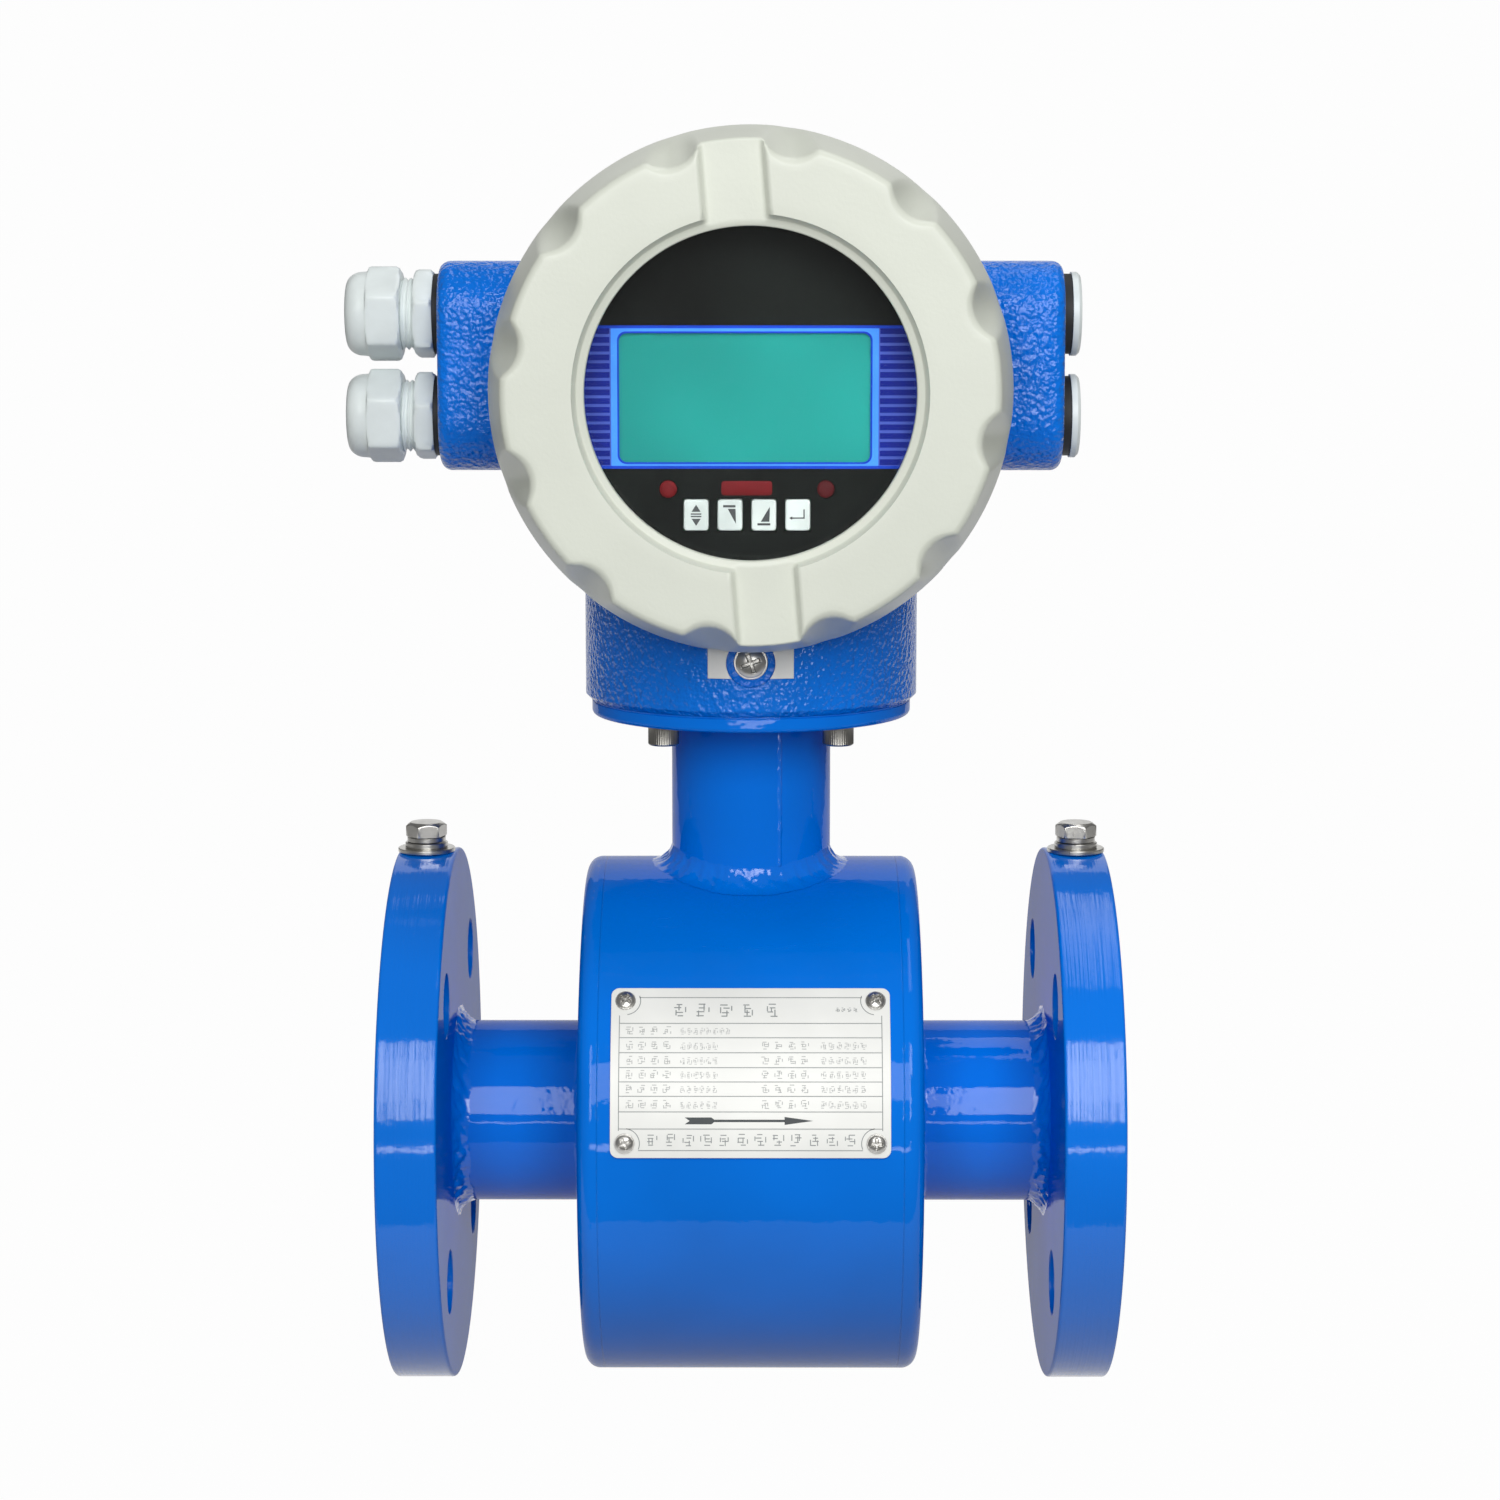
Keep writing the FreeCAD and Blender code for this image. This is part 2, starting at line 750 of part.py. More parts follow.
def make_ground_bolts():
    """A grounding bolt with three washers on top of each flange."""
    bolts, tags, plains, springs = [], [], [], []
    clear = "ground_thread / 2 + slip"
    for side in ("-", ""):
        at = (f"{side}ground_station", "0", "0")
        head_at = (at[0], "0", "ground_head_seat")
        shank_at = (at[0], "0", "flange_radius - ground_depth + ground_thread / 4")
        shank = cylinder("ground_thread / 2", "ground_head_seat - flange_radius + ground_depth "
                         "- ground_thread / 4", at=shank_at)
        bolts.append(fuse(hexagon("ground_head_flats", "ground_head_height", at=head_at), shank))
        tags.append(ring(clear, "tag_washer_diameter / 2", "flange_radius", "plain_washer_seat", at=at))
        plains.append(ring(clear, "plain_washer_diameter / 2", "plain_washer_seat",
                           "spring_washer_seat", at=at))
        springs.append(ring(clear, "spring_washer_diameter / 2", "spring_washer_seat",
                            "ground_head_seat", at=at))
    group(bolts, "ground_bolts")
    group(tags, "ground_tag_washers")
    group(plains, "ground_plain_washers")
    group(springs, "ground_spring_washers")


def make_nameplate():
    """The nameplate, bent to the housing, and the four rivets in its corners."""
    body = new_body()
    sketch = new_sketch(body, "XZ_Plane")
    inner = "housing_radius + slip"
    outer = f"{inner} + nameplate_thickness"
    half = "nameplate_width / 2"
    draw_outline(sketch, [(f"-{half}", inner), (half, inner), (half, outer), (f"-{half}", outer)])
    feature = body.newObject("PartDesign::Revolution", "Revolution")
    feature.Profile = sketch
    feature.ReferenceAxis = (sketch, ["H_Axis"])
    bind(feature, Angle="nameplate_angle")
    turn = "90 - nameplate_start - nameplate_angle"
    body.setExpression("Placement", f"placement(vector(0; 0; 0); rotation(vector(1; 0; 0); {ref(turn)}))")
    round_edges(body, "nameplate_corner", short_corner("nameplate_thickness"))
    sub_part(body, "nameplate")
    rivets = []
    edge = "rivet_inset / (housing_radius) * 180 / pi"
    for side in ("-", ""):
        for angle in (f"nameplate_start + {edge}", f"nameplate_start + nameplate_angle - {edge}"):
            across = f"{side}(nameplate_width / 2 - rivet_inset)"
            rivet = turned([
                ("0", outer), ("rivet_diameter / 2", outer),
                ("rivet_diameter / 2", f"{outer} + 0.5"), ("rivet_diameter / 4", f"{outer} + 1.2"),
                ("0", f"{outer} + 1.3"),
            ])
            turn = f"rotation(vector(1; 0; 0); {ref('90 - (' + angle + ')')})"
            rivet.setExpression("Placement", f"placement(vector({ref(across)}; 0; 0); {turn})")
            rivets.append(rivet)
    group(rivets, "nameplate_rivets")


def short_corner(length):
    """A test for the straight edges that are as long as a plate is thick."""
    wanted = number(length)
    return lambda edge: isinstance(edge.Curve, Part.Line) and abs(edge.Length - wanted) < 1e-3


# Converter housing ----------------------------------------------------------------------


def draw_rounded_box(sketch, centre, width, height, corner):
    """A rectangle with round corners: four lines joined by four tangent arcs."""
    across, up = centre
    half_w, half_h = f"({width}) / 2", f"({height}) / 2"
    ends = []
    for sx, sy in ((-1, -1), (1, -1), (1, 1), (-1, 1)):
        flat = (f"{across} + {sx} * ({half_w} - {corner})", f"{up} + {sy} * {half_h}")
        wall = (f"{across} + {sx} * {half_w}", f"{up} + {sy} * ({half_h} - {corner})")
        ends += [wall, flat] if sx * sy > 0 else [flat, wall]
    points = [FreeCAD.Vector(number(x), number(y), 0) for x, y in ends]
    lines, arcs = [], []
    for i in range(4):
        start, stop = points[2 * i + 1], points[(2 * i + 2) % 8]
        lines.append(sketch.addGeometry(Part.LineSegment(start, stop), False))
    radius = number(corner)
    for i, (sx, sy) in enumerate(((-1, -1), (1, -1), (1, 1), (-1, 1))):
        middle = FreeCAD.Vector(number(f"{across} + {sx} * ({half_w} - {corner})"),
                                number(f"{up} + {sy} * ({half_h} - {corner})"), 0)
        circle = Part.Circle(middle, FreeCAD.Vector(0, 0, 1), radius)
        begin = circle.parameter(points[2 * i])
        finish = circle.parameter(points[2 * i + 1])
        arcs.append(sketch.addGeometry(Part.ArcOfCircle(circle, begin, finish), False))
    for i in range(4):
        pin_point(sketch, lines[i], 1, *ends[2 * i + 1])
        pin_point(sketch, lines[i], 2, *ends[(2 * i + 2) % 8])
        sketch.addConstraint(Sketcher.Constraint("Coincident", arcs[i], 2, lines[i], 1))
        sketch.addConstraint(Sketcher.Constraint("Coincident", arcs[i], 1, lines[i - 1], 2))
        row = sketch.addConstraint(Sketcher.Constraint("Radius", arcs[i], radius))
        sketch.setExpression(f"Constraints[{row}]", ref(corner))


def make_converter_housing():
    """The cast housing: a drum across the neck, a threaded spigot each side, two port bosses."""
    body = new_body()
    place(body, at=("0", "0", "head_height"))
    revolve(body, [
        ("0", "-(spigot_end)"),
        ("spigot_radius", "-(spigot_end)"),
        ("spigot_radius", "-drum_half_depth"),
        ("drum_radius", "-drum_half_depth"),
        ("drum_radius", "drum_half_depth"),
        ("spigot_radius", "drum_half_depth"),
        ("spigot_radius", "spigot_end"),
        ("0", "spigot_end"),
    ], plane="XY_Plane")
    sketch = new_sketch(body, "YZ_Plane")
    draw_rounded_box(sketch, ("0", "boss_rise"), "boss_depth", "boss_height", "boss_corner")
    pad(body, sketch, "boss_reach * 2", midplane=True)
    reach = number("boss_reach")
    radius, side = number("drum_radius"), number("boss_depth / 2")
    round_edges(body, "boss_root", lambda edge: is_boss_root(edge, radius, side))
    round_edges(body, "boss_rounding", lambda edge: is_at_reach(edge, reach))
    sketch = new_sketch(body, "XY_Plane", "-(base_drop)")
    draw_circle(sketch, ("0", "0"), "base_radius")
    pad(body, sketch, "base_drop")
    round_edges(body, "base_chamfer", rim_edge("base_radius", "-(base_drop)"), "Chamfer")
    hollow_out(body)
    sub_part(body, "converter_housing")


def is_boss_root(edge, drum, side):
    """True for the curved edges where a boss meets the drum."""
    middle = edge.valueAt((edge.FirstParameter + edge.LastParameter) / 2)
    across = (middle.x ** 2 + middle.z ** 2) ** 0.5
    return abs(middle.y) < side + 0.5 and abs(across - drum) < 0.5


def is_at_reach(edge, reach):
    """True for the edges round the end of a boss."""
    box = edge.BoundBox
    return abs(abs(box.XMin) - reach) < 1e-3 and abs(abs(box.XMax) - reach) < 1e-3


def hollow_out(body):
    """The two compartments, the ports, the lead hole and the screw holes of the housing."""
    rear_start = "-partition_front + partition_thickness"
    for near, far in (("-(spigot_end)", "-partition_front"), (rear_start, "spigot_end")):
        points = [("0", near), ("cavity_radius", near), ("cavity_radius", far), ("0", far)]
        revolve(body, points, plane="XY_Plane", kind="Groove")
    sketch = new_sketch(body, "YZ_Plane")
    for height in ("port_low", "port_high"):
        draw_circle(sketch, ("0", height), "port_radius")
    pocket(body, sketch, "boss_reach * 2 + 1", midplane=True)
    for radius, depth in (("recess_radius", "recess_depth"),
                          ("lead_hole_radius", "base_drop - cavity_radius + recess_floor")):
        sketch = new_sketch(body, "XY_Plane", "-(base_drop)")
        draw_circle(sketch, ("0", "0"), radius)
        pocket(body, sketch, depth, reversed_way=True)
    sketch = new_sketch(body, "XZ_Plane", "base_radius - earth_recess_depth")
    draw_circle(sketch, ("0", "earth_height - head_height"), "earth_recess_radius")
    pocket(body, sketch, "earth_recess_depth + 1", reversed_way=True)
    sketch = new_sketch(body, "XZ_Plane", "base_radius - earth_recess_depth")
    draw_circle(sketch, ("0", "earth_height - head_height"), "earth_thread / 2 + slip")
    pocket(body, sketch, "earth_depth + slip")
    sketch = new_sketch(body, "XY_Plane", "-(base_drop)")
    draw_circle(sketch, ("screw_offset", "screw_offset"), "screw_thread / 2 + slip")
    hole = pocket(body, sketch, "screw_depth + screw_tip_gap", reversed_way=True)
    ring_pattern(body, hole, "4")


def make_housing_fixings():
    """The gasket and four socket screws between the neck flange and the housing."""
    gasket = ring("neck_radius + gasket_inset", "neck_flange_diameter / 2 - gasket_inset",
                  "neck_top", "base_height")
    screw_holes(gasket, "base_height", "gasket_thickness", "screw_thread / 2 + 2 * slip")
    sub_part(gasket, "housing_gasket")
    screws = []
    for across in ("-screw_offset", "screw_offset"):
        for back in ("-screw_offset", "screw_offset"):
            low = "neck_flange_base - screw_head_height"
            head = cylinder("screw_head_diameter / 2", "screw_head_height", at=(across, back, low))
            length = "screw_head_height / 2 + neck_flange_thickness + gasket_thickness + screw_depth"
            shank = cylinder("screw_thread / 2", length,
                             at=(across, back, "neck_flange_base - screw_head_height / 2"))
            socket = hexagon("screw_socket_flats", "screw_head_height / 2", at=(across, back, low))
            screws.append(cut(fuse(head, shank), socket))
    group(screws, "housing_screws")


# Covers ----------------------------------------------------------------------------------


def cover_skirt():
    """The outside of a cover from its back rim to its face, then nothing inward yet."""
    return [
        ("seal_radius + seal_section / 2 + seal_gap", "cover_back"),
        ("cover_radius - cover_rim", "cover_back"),
        ("cover_radius", "cover_back + cover_rim"),
        ("cover_radius", "cover_land"),
        ("cover_face_radius + face_rounding / 4", "cover_front - face_rounding"),
        ("cover_face_radius - face_rounding / 6", "cover_front - face_rounding * 0.3"),
        ("cover_face_radius - face_rounding * 0.75", "cover_front"),
        ("face_inner_radius", "cover_front"),
        ("face_inner_radius - face_step / 3", "face_floor"),
    ]


def cover_bore():
    """The inside of a cover, from the window's seat back to the thread and the seal's groove."""
    groove = "seal_centre + seal_section / 2 + 2 * seal_gap"
    return [
        ("glass_bore", "cover_shoulder"),
        ("thread_bore", "cover_shoulder"),
        ("thread_bore", groove),
        ("seal_radius + seal_section / 2 + seal_gap", groove),
    ]


def cut_grips(body):
    """Twelve scooped notches round the rim and one straight groove across the face."""
    front, back = "cover_front + 1", "cover_front - notch_run - 2"
    sections = []
    for station in (front, back):
        sketch = new_sketch(body, "XY_Plane", station)
        centre = f"(notch_floor + notch_radius + notch_slope * (cover_front - ({station})))"
        angle = "180 / notch_count"
        place_at = (f"-{centre} * sin({angle})", f"{centre} * cos({angle})")
        draw_circle(sketch, place_at, "notch_radius")
        sections.append(sketch)
    notch = body.newObject("PartDesign::SubtractiveLoft", "Notch")
    notch.Profile = sections[0]
    notch.Sections = [sections[1]]
    notch.Ruled = True
    doc.recompute()
    ring_pattern(body, notch, "notch_count")
    sketch = new_sketch(body, "XZ_Plane")
    half = "grip_width / 2"
    flare = "grip_width / 2 + grip_slope * (face_step + 1) / face_step"
    draw_outline(sketch, [
        (f"-{half}", "face_floor"), (half, "face_floor"),
        (flare, "cover_front + 1"), (f"-({flare})", "cover_front + 1"),
    ])
    pocket(body, sketch, "cover_radius * 2.2", midplane=True)


def make_front_cover():
    """The screwed cover with its window."""
    window = [("window_radius", "face_floor"), ("window_radius", "glass_seat"),
              ("glass_bore", "glass_seat")]
    cover = turned(cover_skirt() + window + cover_bore(), at=("0", "0", "head_height"),
                   along="-Y", spin="cover_turn")
    cut_grips(cover)
    sub_part(cover, "front_cover")
    at = ("0", "0", "head_height")
    sub_part(ring("window_radius + 1.5", "glass_radius", "glass_front", "glass_seat",
                  at=at, along="-Y"), "window_gasket")
    sub_part(ring_free_disc("glass_radius", "glass_back", "glass_front", at, "-Y"), "window_glass")
    sub_part(ring("glass_radius - ring_width", "glass_radius", "glass_back - ring_thickness",
                  "glass_back", at=at, along="-Y"), "window_retaining_ring")


def ring_free_disc(radius, low, high, at, along):
    """A plain turned disc."""
    return turned([("0", low), (radius, low), (radius, high), ("0", high)], at=at, along=along)


def make_rear_cover():
    """The blind cover of the terminal compartment."""
    floor = "face_floor - blind_thickness"
    closed = [("0", "face_floor"), ("0", floor), ("glass_bore", floor)]
    cover = turned(cover_skirt() + closed + cover_bore(), at=("0", "0", "head_height"),
                   along="Y", spin="cover_turn")
    cut_grips(cover)
    sub_part(cover, "rear_cover")


def make_cover_seals():
    """The sealing ring at the foot of each spigot."""
    for label, side, along in (("front_cover_seal", "-", "-Y"), ("rear_cover_seal", "", "Y")):
        seal = doc.addObject("Part::Torus", "Seal")
        bind(seal, Radius1="seal_radius", Radius2="seal_section / 2")
        place(seal, at=("0", f"{side}(seal_centre)", "head_height"), along=along)
        sub_part(seal, label)


# Display and electronics ------------------------------------------------------------------


def key_across(index):
    """The place of one of the four keys, from the left."""
    return f"key_across + ({index} - 1.5) * key_pitch"


def make_panel():
    """The display panel with openings for the screen, the keys, the lamps and the receiver."""
    at = ("0", "0", "head_height")
    body = ring_free_disc("panel_radius", "panel_back", "panel_front", at, "-Y")
    sketch = new_sketch(body, "XY_Plane", "panel_front")
    draw_box(sketch, ("screen_across", "screen_up"), "screen_width", "screen_height")
    for index in range(4):
        centre = (key_across(index), "key_up")
        draw_box(sketch, centre, "key_width + 2 * key_gap", "key_height + 2 * key_gap")
    for side in ("lamp_left", "lamp_right"):
        draw_circle(sketch, (side, "lamp_up"), "lamp_diameter / 2 + slip")
    draw_box(sketch, ("infrared_across", "lamp_up"), "infrared_width + 2 * slip",
             "infrared_height + 2 * slip")
    pocket(body, sketch, "panel_thickness")
    sub_part(body, "display_panel")


def front_block(centre, width, height, back, front):
    """A block that faces the front of the converter, between two distances from its middle."""
    across, up = centre
    corner = (f"{across} - ({width}) / 2", f"-({front})", f"head_height + {up} - ({height}) / 2")
    return block(width, f"({front}) - ({back})", height, at=corner)


def make_display():
    """The screen, keys, lamps and receiver on the display board."""
    screen_front = "panel_front - screen_set_back"
    screen = front_block(("screen_across", "screen_up"), "screen_width - 2 * slip",
                         "screen_height - 2 * slip", "display_board_front", screen_front)
    sub_part(screen, "lcd_module")
    for index, label in enumerate(("select_key", "down_key", "up_key", "enter_key")):
        key = front_block((key_across(index), "key_up"), "key_width", "key_height",
                          "display_board_front + 2", "panel_front + key_proud")
        sub_part(key, label)
    lamps = []
    for side in ("lamp_left", "lamp_right"):
        lamps.append(cylinder("lamp_diameter / 2", "panel_front + lamp_proud - display_board_front",
                              at=(side, "-display_board_front", "head_height + lamp_up"), along="-Y"))
    group(lamps, "status_lamps")
    receiver = front_block(("infrared_across", "lamp_up"), "infrared_width", "infrared_height",
                           "display_board_front", "panel_front")
    sub_part(receiver, "infrared_window")


def make_board(label, low, high, along):
    """A round circuit board with clearance for the four pillars."""
    board = ring_free_disc("board_radius", low, high, ("0", "0", "head_height"), along)
    sketch = new_sketch(board, "XY_Plane", high)
    reach = "pillar_circle * cos(45)"
    draw_circle(sketch, (reach, reach), "pillar_radius + slip")
    hole = pocket(board, sketch, "board_thickness")
    ring_pattern(board, hole, "4")
    sub_part(board, label)


def four_pillars(side, low, high, along):
    """Four pillars between the partition and what they carry."""
    pillars = []
    reach = "pillar_circle * cos(45)"
    for across in (f"-{reach}", reach):
        for up in (f"head_height - {reach}", f"head_height + {reach}"):
            at = (across, f"{side}({low})", up)
            pillars.append(cylinder("pillar_radius", f"({high}) - ({low})", at=at, along=along))
    return pillars


def make_terminals():
    """The terminal block on its board: a bar with a wire opening and a screw for each wire."""
    length = "terminal_count * terminal_pitch"
    body = new_body()
    sketch = new_sketch(body, "XY_Plane")
    draw_box(sketch, ("0", "0"), length, "terminal_height")
    pad(body, sketch, "terminal_depth")
    for plane, offset, size, depth, up in (
        ("XY_Plane", "terminal_depth", "terminal_pitch * 0.3", "terminal_depth * 0.4", "0"),
        ("XZ_Plane", "terminal_height / 2", "terminal_pitch * 0.28", "terminal_height * 0.3",
         "terminal_depth * 0.35"),
    ):
        sketch = new_sketch(body, plane, offset)
        first = "-(terminal_count - 1) / 2 * terminal_pitch"
        draw_circle(sketch, (first, up), size)
        hole = pocket(body, sketch, depth)
        row = body.newObject("PartDesign::LinearPattern", "Row")
        row.Originals = [hole]
        row.Direction = (origin_feature(body, "X_Axis"), [""])
        bind(row, Length="(terminal_count - 1) * terminal_pitch", Occurrences="terminal_count")
        body.Tip = row
    place(body, at=("0", "terminal_board_face", "head_height"), along="Y")
    sub_part(body, "terminal_block")


def make_electronics():
    """Boards and pillars of both compartments."""
    boards = (
        ("display_board", "display_board_front - board_thickness", "display_board_front", "-Y"),
        ("main_board", "main_board_front - board_thickness", "main_board_front", "-Y"),
        ("terminal_board", "terminal_board_face - board_thickness", "terminal_board_face", "Y"),
    )
    for board in boards:
        make_board(*board)
    rear_face = "-partition_front + partition_thickness"
    front = four_pillars("-", "partition_front", "panel_back", "-Y")
    rear = four_pillars("", rear_face, "terminal_board_face + 2", "Y")
    group(front + rear, "board_pillars")
    make_terminals()


# Cable entries ---------------------------------------------------------------------------


def port_at(height):
    """The axis of a port, at the middle of the housing."""
    return ("0", "0", f"head_height + {height}")


def make_gland(name, height):
    """A cable gland: body, sealing insert and dome nut."""
    where = {"at": port_at(height), "along": "-X"}
    start = "boss_reach - gland_inner_reach"
    barrel = ring("gland_bore_radius", "gland_thread", start, "gland_body_end", **where)
    seat = ("-(gland_hex_seat)", "0", f"head_height + {height}")
    collar = cut(
        hexagon("gland_flats", "gland_hex_height", at=seat, along="-X"),
        cylinder("gland_thread - 0.5", "gland_hex_height", at=seat, along="-X"),
    )
    sub_part(fuse(barrel, collar), name + "_gland_body")
    inside = "gland_bore_radius - insert_gap"
    sub_part(turned([
        ("insert_bore_radius", "gland_nut_start"),
        (inside, "gland_nut_start"),
        (inside, "insert_seat"),
        ("gland_thread - insert_gap", "insert_seat"),
        ("gland_thread - insert_gap", "insert_end"),
        ("insert_bore_radius", "insert_end"),
    ], **where), name + "_gland_insert")
    sub_part(gland_nut(height, where), name + "_gland_nut")


def gland_nut(height, where):
    """The dome nut: a hexagon inside a domed turning, bored for the thread and the cable."""
    corner = "gland_nut_flats / 2 / cos(30)"
    bore = "gland_thread + insert_gap"
    dome = turned([
        (bore, "gland_nut_start"),
        (f"{corner} - 0.6", "gland_nut_start"),
        (corner, "gland_nut_start + 0.8"),
        (corner, "gland_nut_shoulder - 1"),
        ("gland_nut_flats / 2 - 0.2", "gland_nut_shoulder + 0.3"),
        ("gland_nut_flats / 2 - 1", "gland_nut_shoulder + gland_dome * 0.55"),
        ("gland_tip_radius + 0.7", "gland_nut_end - 0.5"),
        ("gland_tip_radius - 0.6", "gland_nut_end"),
        ("gland_mouth_radius", "gland_nut_end"),
        ("gland_mouth_radius", "gland_nut_floor + 1.2"),
        (bore, "gland_nut_floor"),
    ], **where)
    seat = ("-(gland_nut_start)", "0", f"head_height + {height}")
    length = "gland_nut_hex + gland_dome"
    return common(hexagon("gland_nut_flats", length, at=seat, along="-X"), dome)


def make_entries():
    """Two glands on the left boss and two blanking plugs on the right one."""
    gland_washers, plugs, plug_washers = [], [], []
    inner = "gland_thread + slip"
    for name, height in (("upper", "port_high"), ("lower", "port_low")):
        make_gland(name, height)
        at = port_at(height)
        gland_washers.append(ring(inner, "gland_washer_diameter / 2", "boss_reach",
                                  "gland_hex_seat", at=at, along="-X"))
        plug_washers.append(ring(inner, "gland_washer_diameter / 2", "boss_reach", "plug_seat",
                                 at=at, along="X"))
        cap = "plug_cap_diameter / 2"
        plug = turned([
            ("0", "boss_reach - plug_inner_reach"),
            ("gland_thread", "boss_reach - plug_inner_reach"),
            ("gland_thread", "plug_seat"),
            (cap, "plug_seat"),
            (cap, "plug_seat + plug_cap_thickness - 0.8"),
            (f"{cap} - 0.8", "plug_seat + plug_cap_thickness"),
            ("0", "plug_seat + plug_cap_thickness"),
        ], at=at, along="X")
        plugs.append(plug)
    group(gland_washers, "gland_washers")
    group(plugs, "blanking_plugs")
    group(plug_washers, "plug_washers")


def make_earth_point():
    """The earth screw in its recess, and the label round it."""
    floor = "base_radius - earth_recess_depth"
    at = ("0", "0", "earth_height")
    sub_part(turned([
        ("0", f"{floor} - earth_depth"),
        ("earth_thread / 2", f"{floor} - earth_depth"),
        ("earth_thread / 2", floor),
        ("earth_head_diameter / 2", floor),
        ("earth_head_diameter / 2", f"{floor} + earth_head_height * 0.6"),
        ("earth_head_diameter / 4", f"{floor} + earth_head_height"),
        ("0", f"{floor} + earth_head_height"),
    ], at=at, along="-Y"), "earth_screw")
    height = "label_top - label_bottom"
    wrap = cut(
        cylinder("label_radius + label_thickness", height, at=("0", "0", "label_bottom")),
        cylinder("label_radius", height, at=("0", "0", "label_bottom")),
    )
    window = block("label_width", "base_diameter", height,
                   at=("-label_width / 2", "-base_diameter", "label_bottom"))
    hole = cylinder("earth_recess_radius", "base_diameter", at=at, along="-Y")
    sub_part(cut(common(wrap, window), hole), "earth_label")


def write_parts():
    """Check every object and every sub-part, then write one STEP file each."""
    failed = [item.Name for item in doc.Objects if {"Invalid", "Error"} & set(item.State)]
    if failed:
        raise ValueError(f"not recomputed: {failed}")
    for item in sub_parts:
        if item.Shape.isNull() or not item.Shape.isValid() or not item.Shape.Solids:
            raise ValueError(f"bad shape: {item.Label}")
    os.makedirs("parts", exist_ok=True)
    for item in sub_parts:
        item.Shape.exportStep(f"parts/{item.Label}.step")


fill_sheet()
make_tube()
make_liner()
make_flange("inlet_flange", "-X", "0")
make_flange("outlet_flange", "X", "180")
make_coil_housing()
make_neck()
make_weld_beads()
make_magnet()
make_electrodes()
make_ground_bolts()
make_nameplate()
make_converter_housing()
make_housing_fixings()
make_front_cover()
make_rear_cover()
make_cover_seals()
make_panel()
make_display()
make_electronics()
make_entries()
make_earth_point()
doc.recompute()
write_parts()
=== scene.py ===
import bpy
import bmesh
import random
from math import asin, atan2, cos, hypot, pi, radians, sin, sqrt
from mathutils import Matrix, Vector, noise


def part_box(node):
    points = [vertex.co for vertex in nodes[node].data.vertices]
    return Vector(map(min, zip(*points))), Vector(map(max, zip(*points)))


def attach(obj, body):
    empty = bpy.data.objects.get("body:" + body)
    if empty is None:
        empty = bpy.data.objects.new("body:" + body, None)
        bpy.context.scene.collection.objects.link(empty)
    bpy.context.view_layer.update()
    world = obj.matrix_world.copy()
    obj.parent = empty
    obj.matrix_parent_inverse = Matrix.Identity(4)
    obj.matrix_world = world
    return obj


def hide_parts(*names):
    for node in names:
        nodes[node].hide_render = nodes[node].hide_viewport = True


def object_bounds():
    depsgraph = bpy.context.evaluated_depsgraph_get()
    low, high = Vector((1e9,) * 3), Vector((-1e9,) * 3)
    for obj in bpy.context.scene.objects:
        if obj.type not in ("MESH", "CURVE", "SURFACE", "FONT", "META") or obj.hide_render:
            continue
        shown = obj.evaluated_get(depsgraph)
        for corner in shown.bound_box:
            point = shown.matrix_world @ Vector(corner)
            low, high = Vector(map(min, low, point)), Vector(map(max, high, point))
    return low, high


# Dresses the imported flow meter: finishes for every CAD node, and finer pieces for the covers,
# welds, screws, glands, keys and print.  Metres, in the frame of the CAD model.

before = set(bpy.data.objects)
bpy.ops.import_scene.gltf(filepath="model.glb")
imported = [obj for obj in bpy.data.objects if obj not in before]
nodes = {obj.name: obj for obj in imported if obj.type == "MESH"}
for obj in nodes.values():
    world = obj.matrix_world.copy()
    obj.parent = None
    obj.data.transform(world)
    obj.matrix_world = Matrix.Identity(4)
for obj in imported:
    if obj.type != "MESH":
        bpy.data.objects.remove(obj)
cad_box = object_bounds()
MM = 0.001
FRONT = (0.0, -1.0, 0.0)


def middle(node):
    """The centre of a CAD node's box."""
    low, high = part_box(node)
    return (low + high) / 2


def size(node):
    """The width, depth and height of a CAD node's box."""
    low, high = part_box(node)
    return high - low


# Places that the pieces below share, read from the frame.
HEAD = Vector((0.0, 0.0, middle("window_glass").z))
FLANGE_RADIUS = size("inlet_flange").z / 2
TUBE_RADIUS = size("measuring_tube").z / 2
HOUSING_RADIUS = size("coil_housing_shell").y / 2
HOUSING_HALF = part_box("right_end_plate")[1].x
NECK_RADIUS = size("neck_tube").x / 2
GROUND_STATION = 91.6 * MM


# Finishes


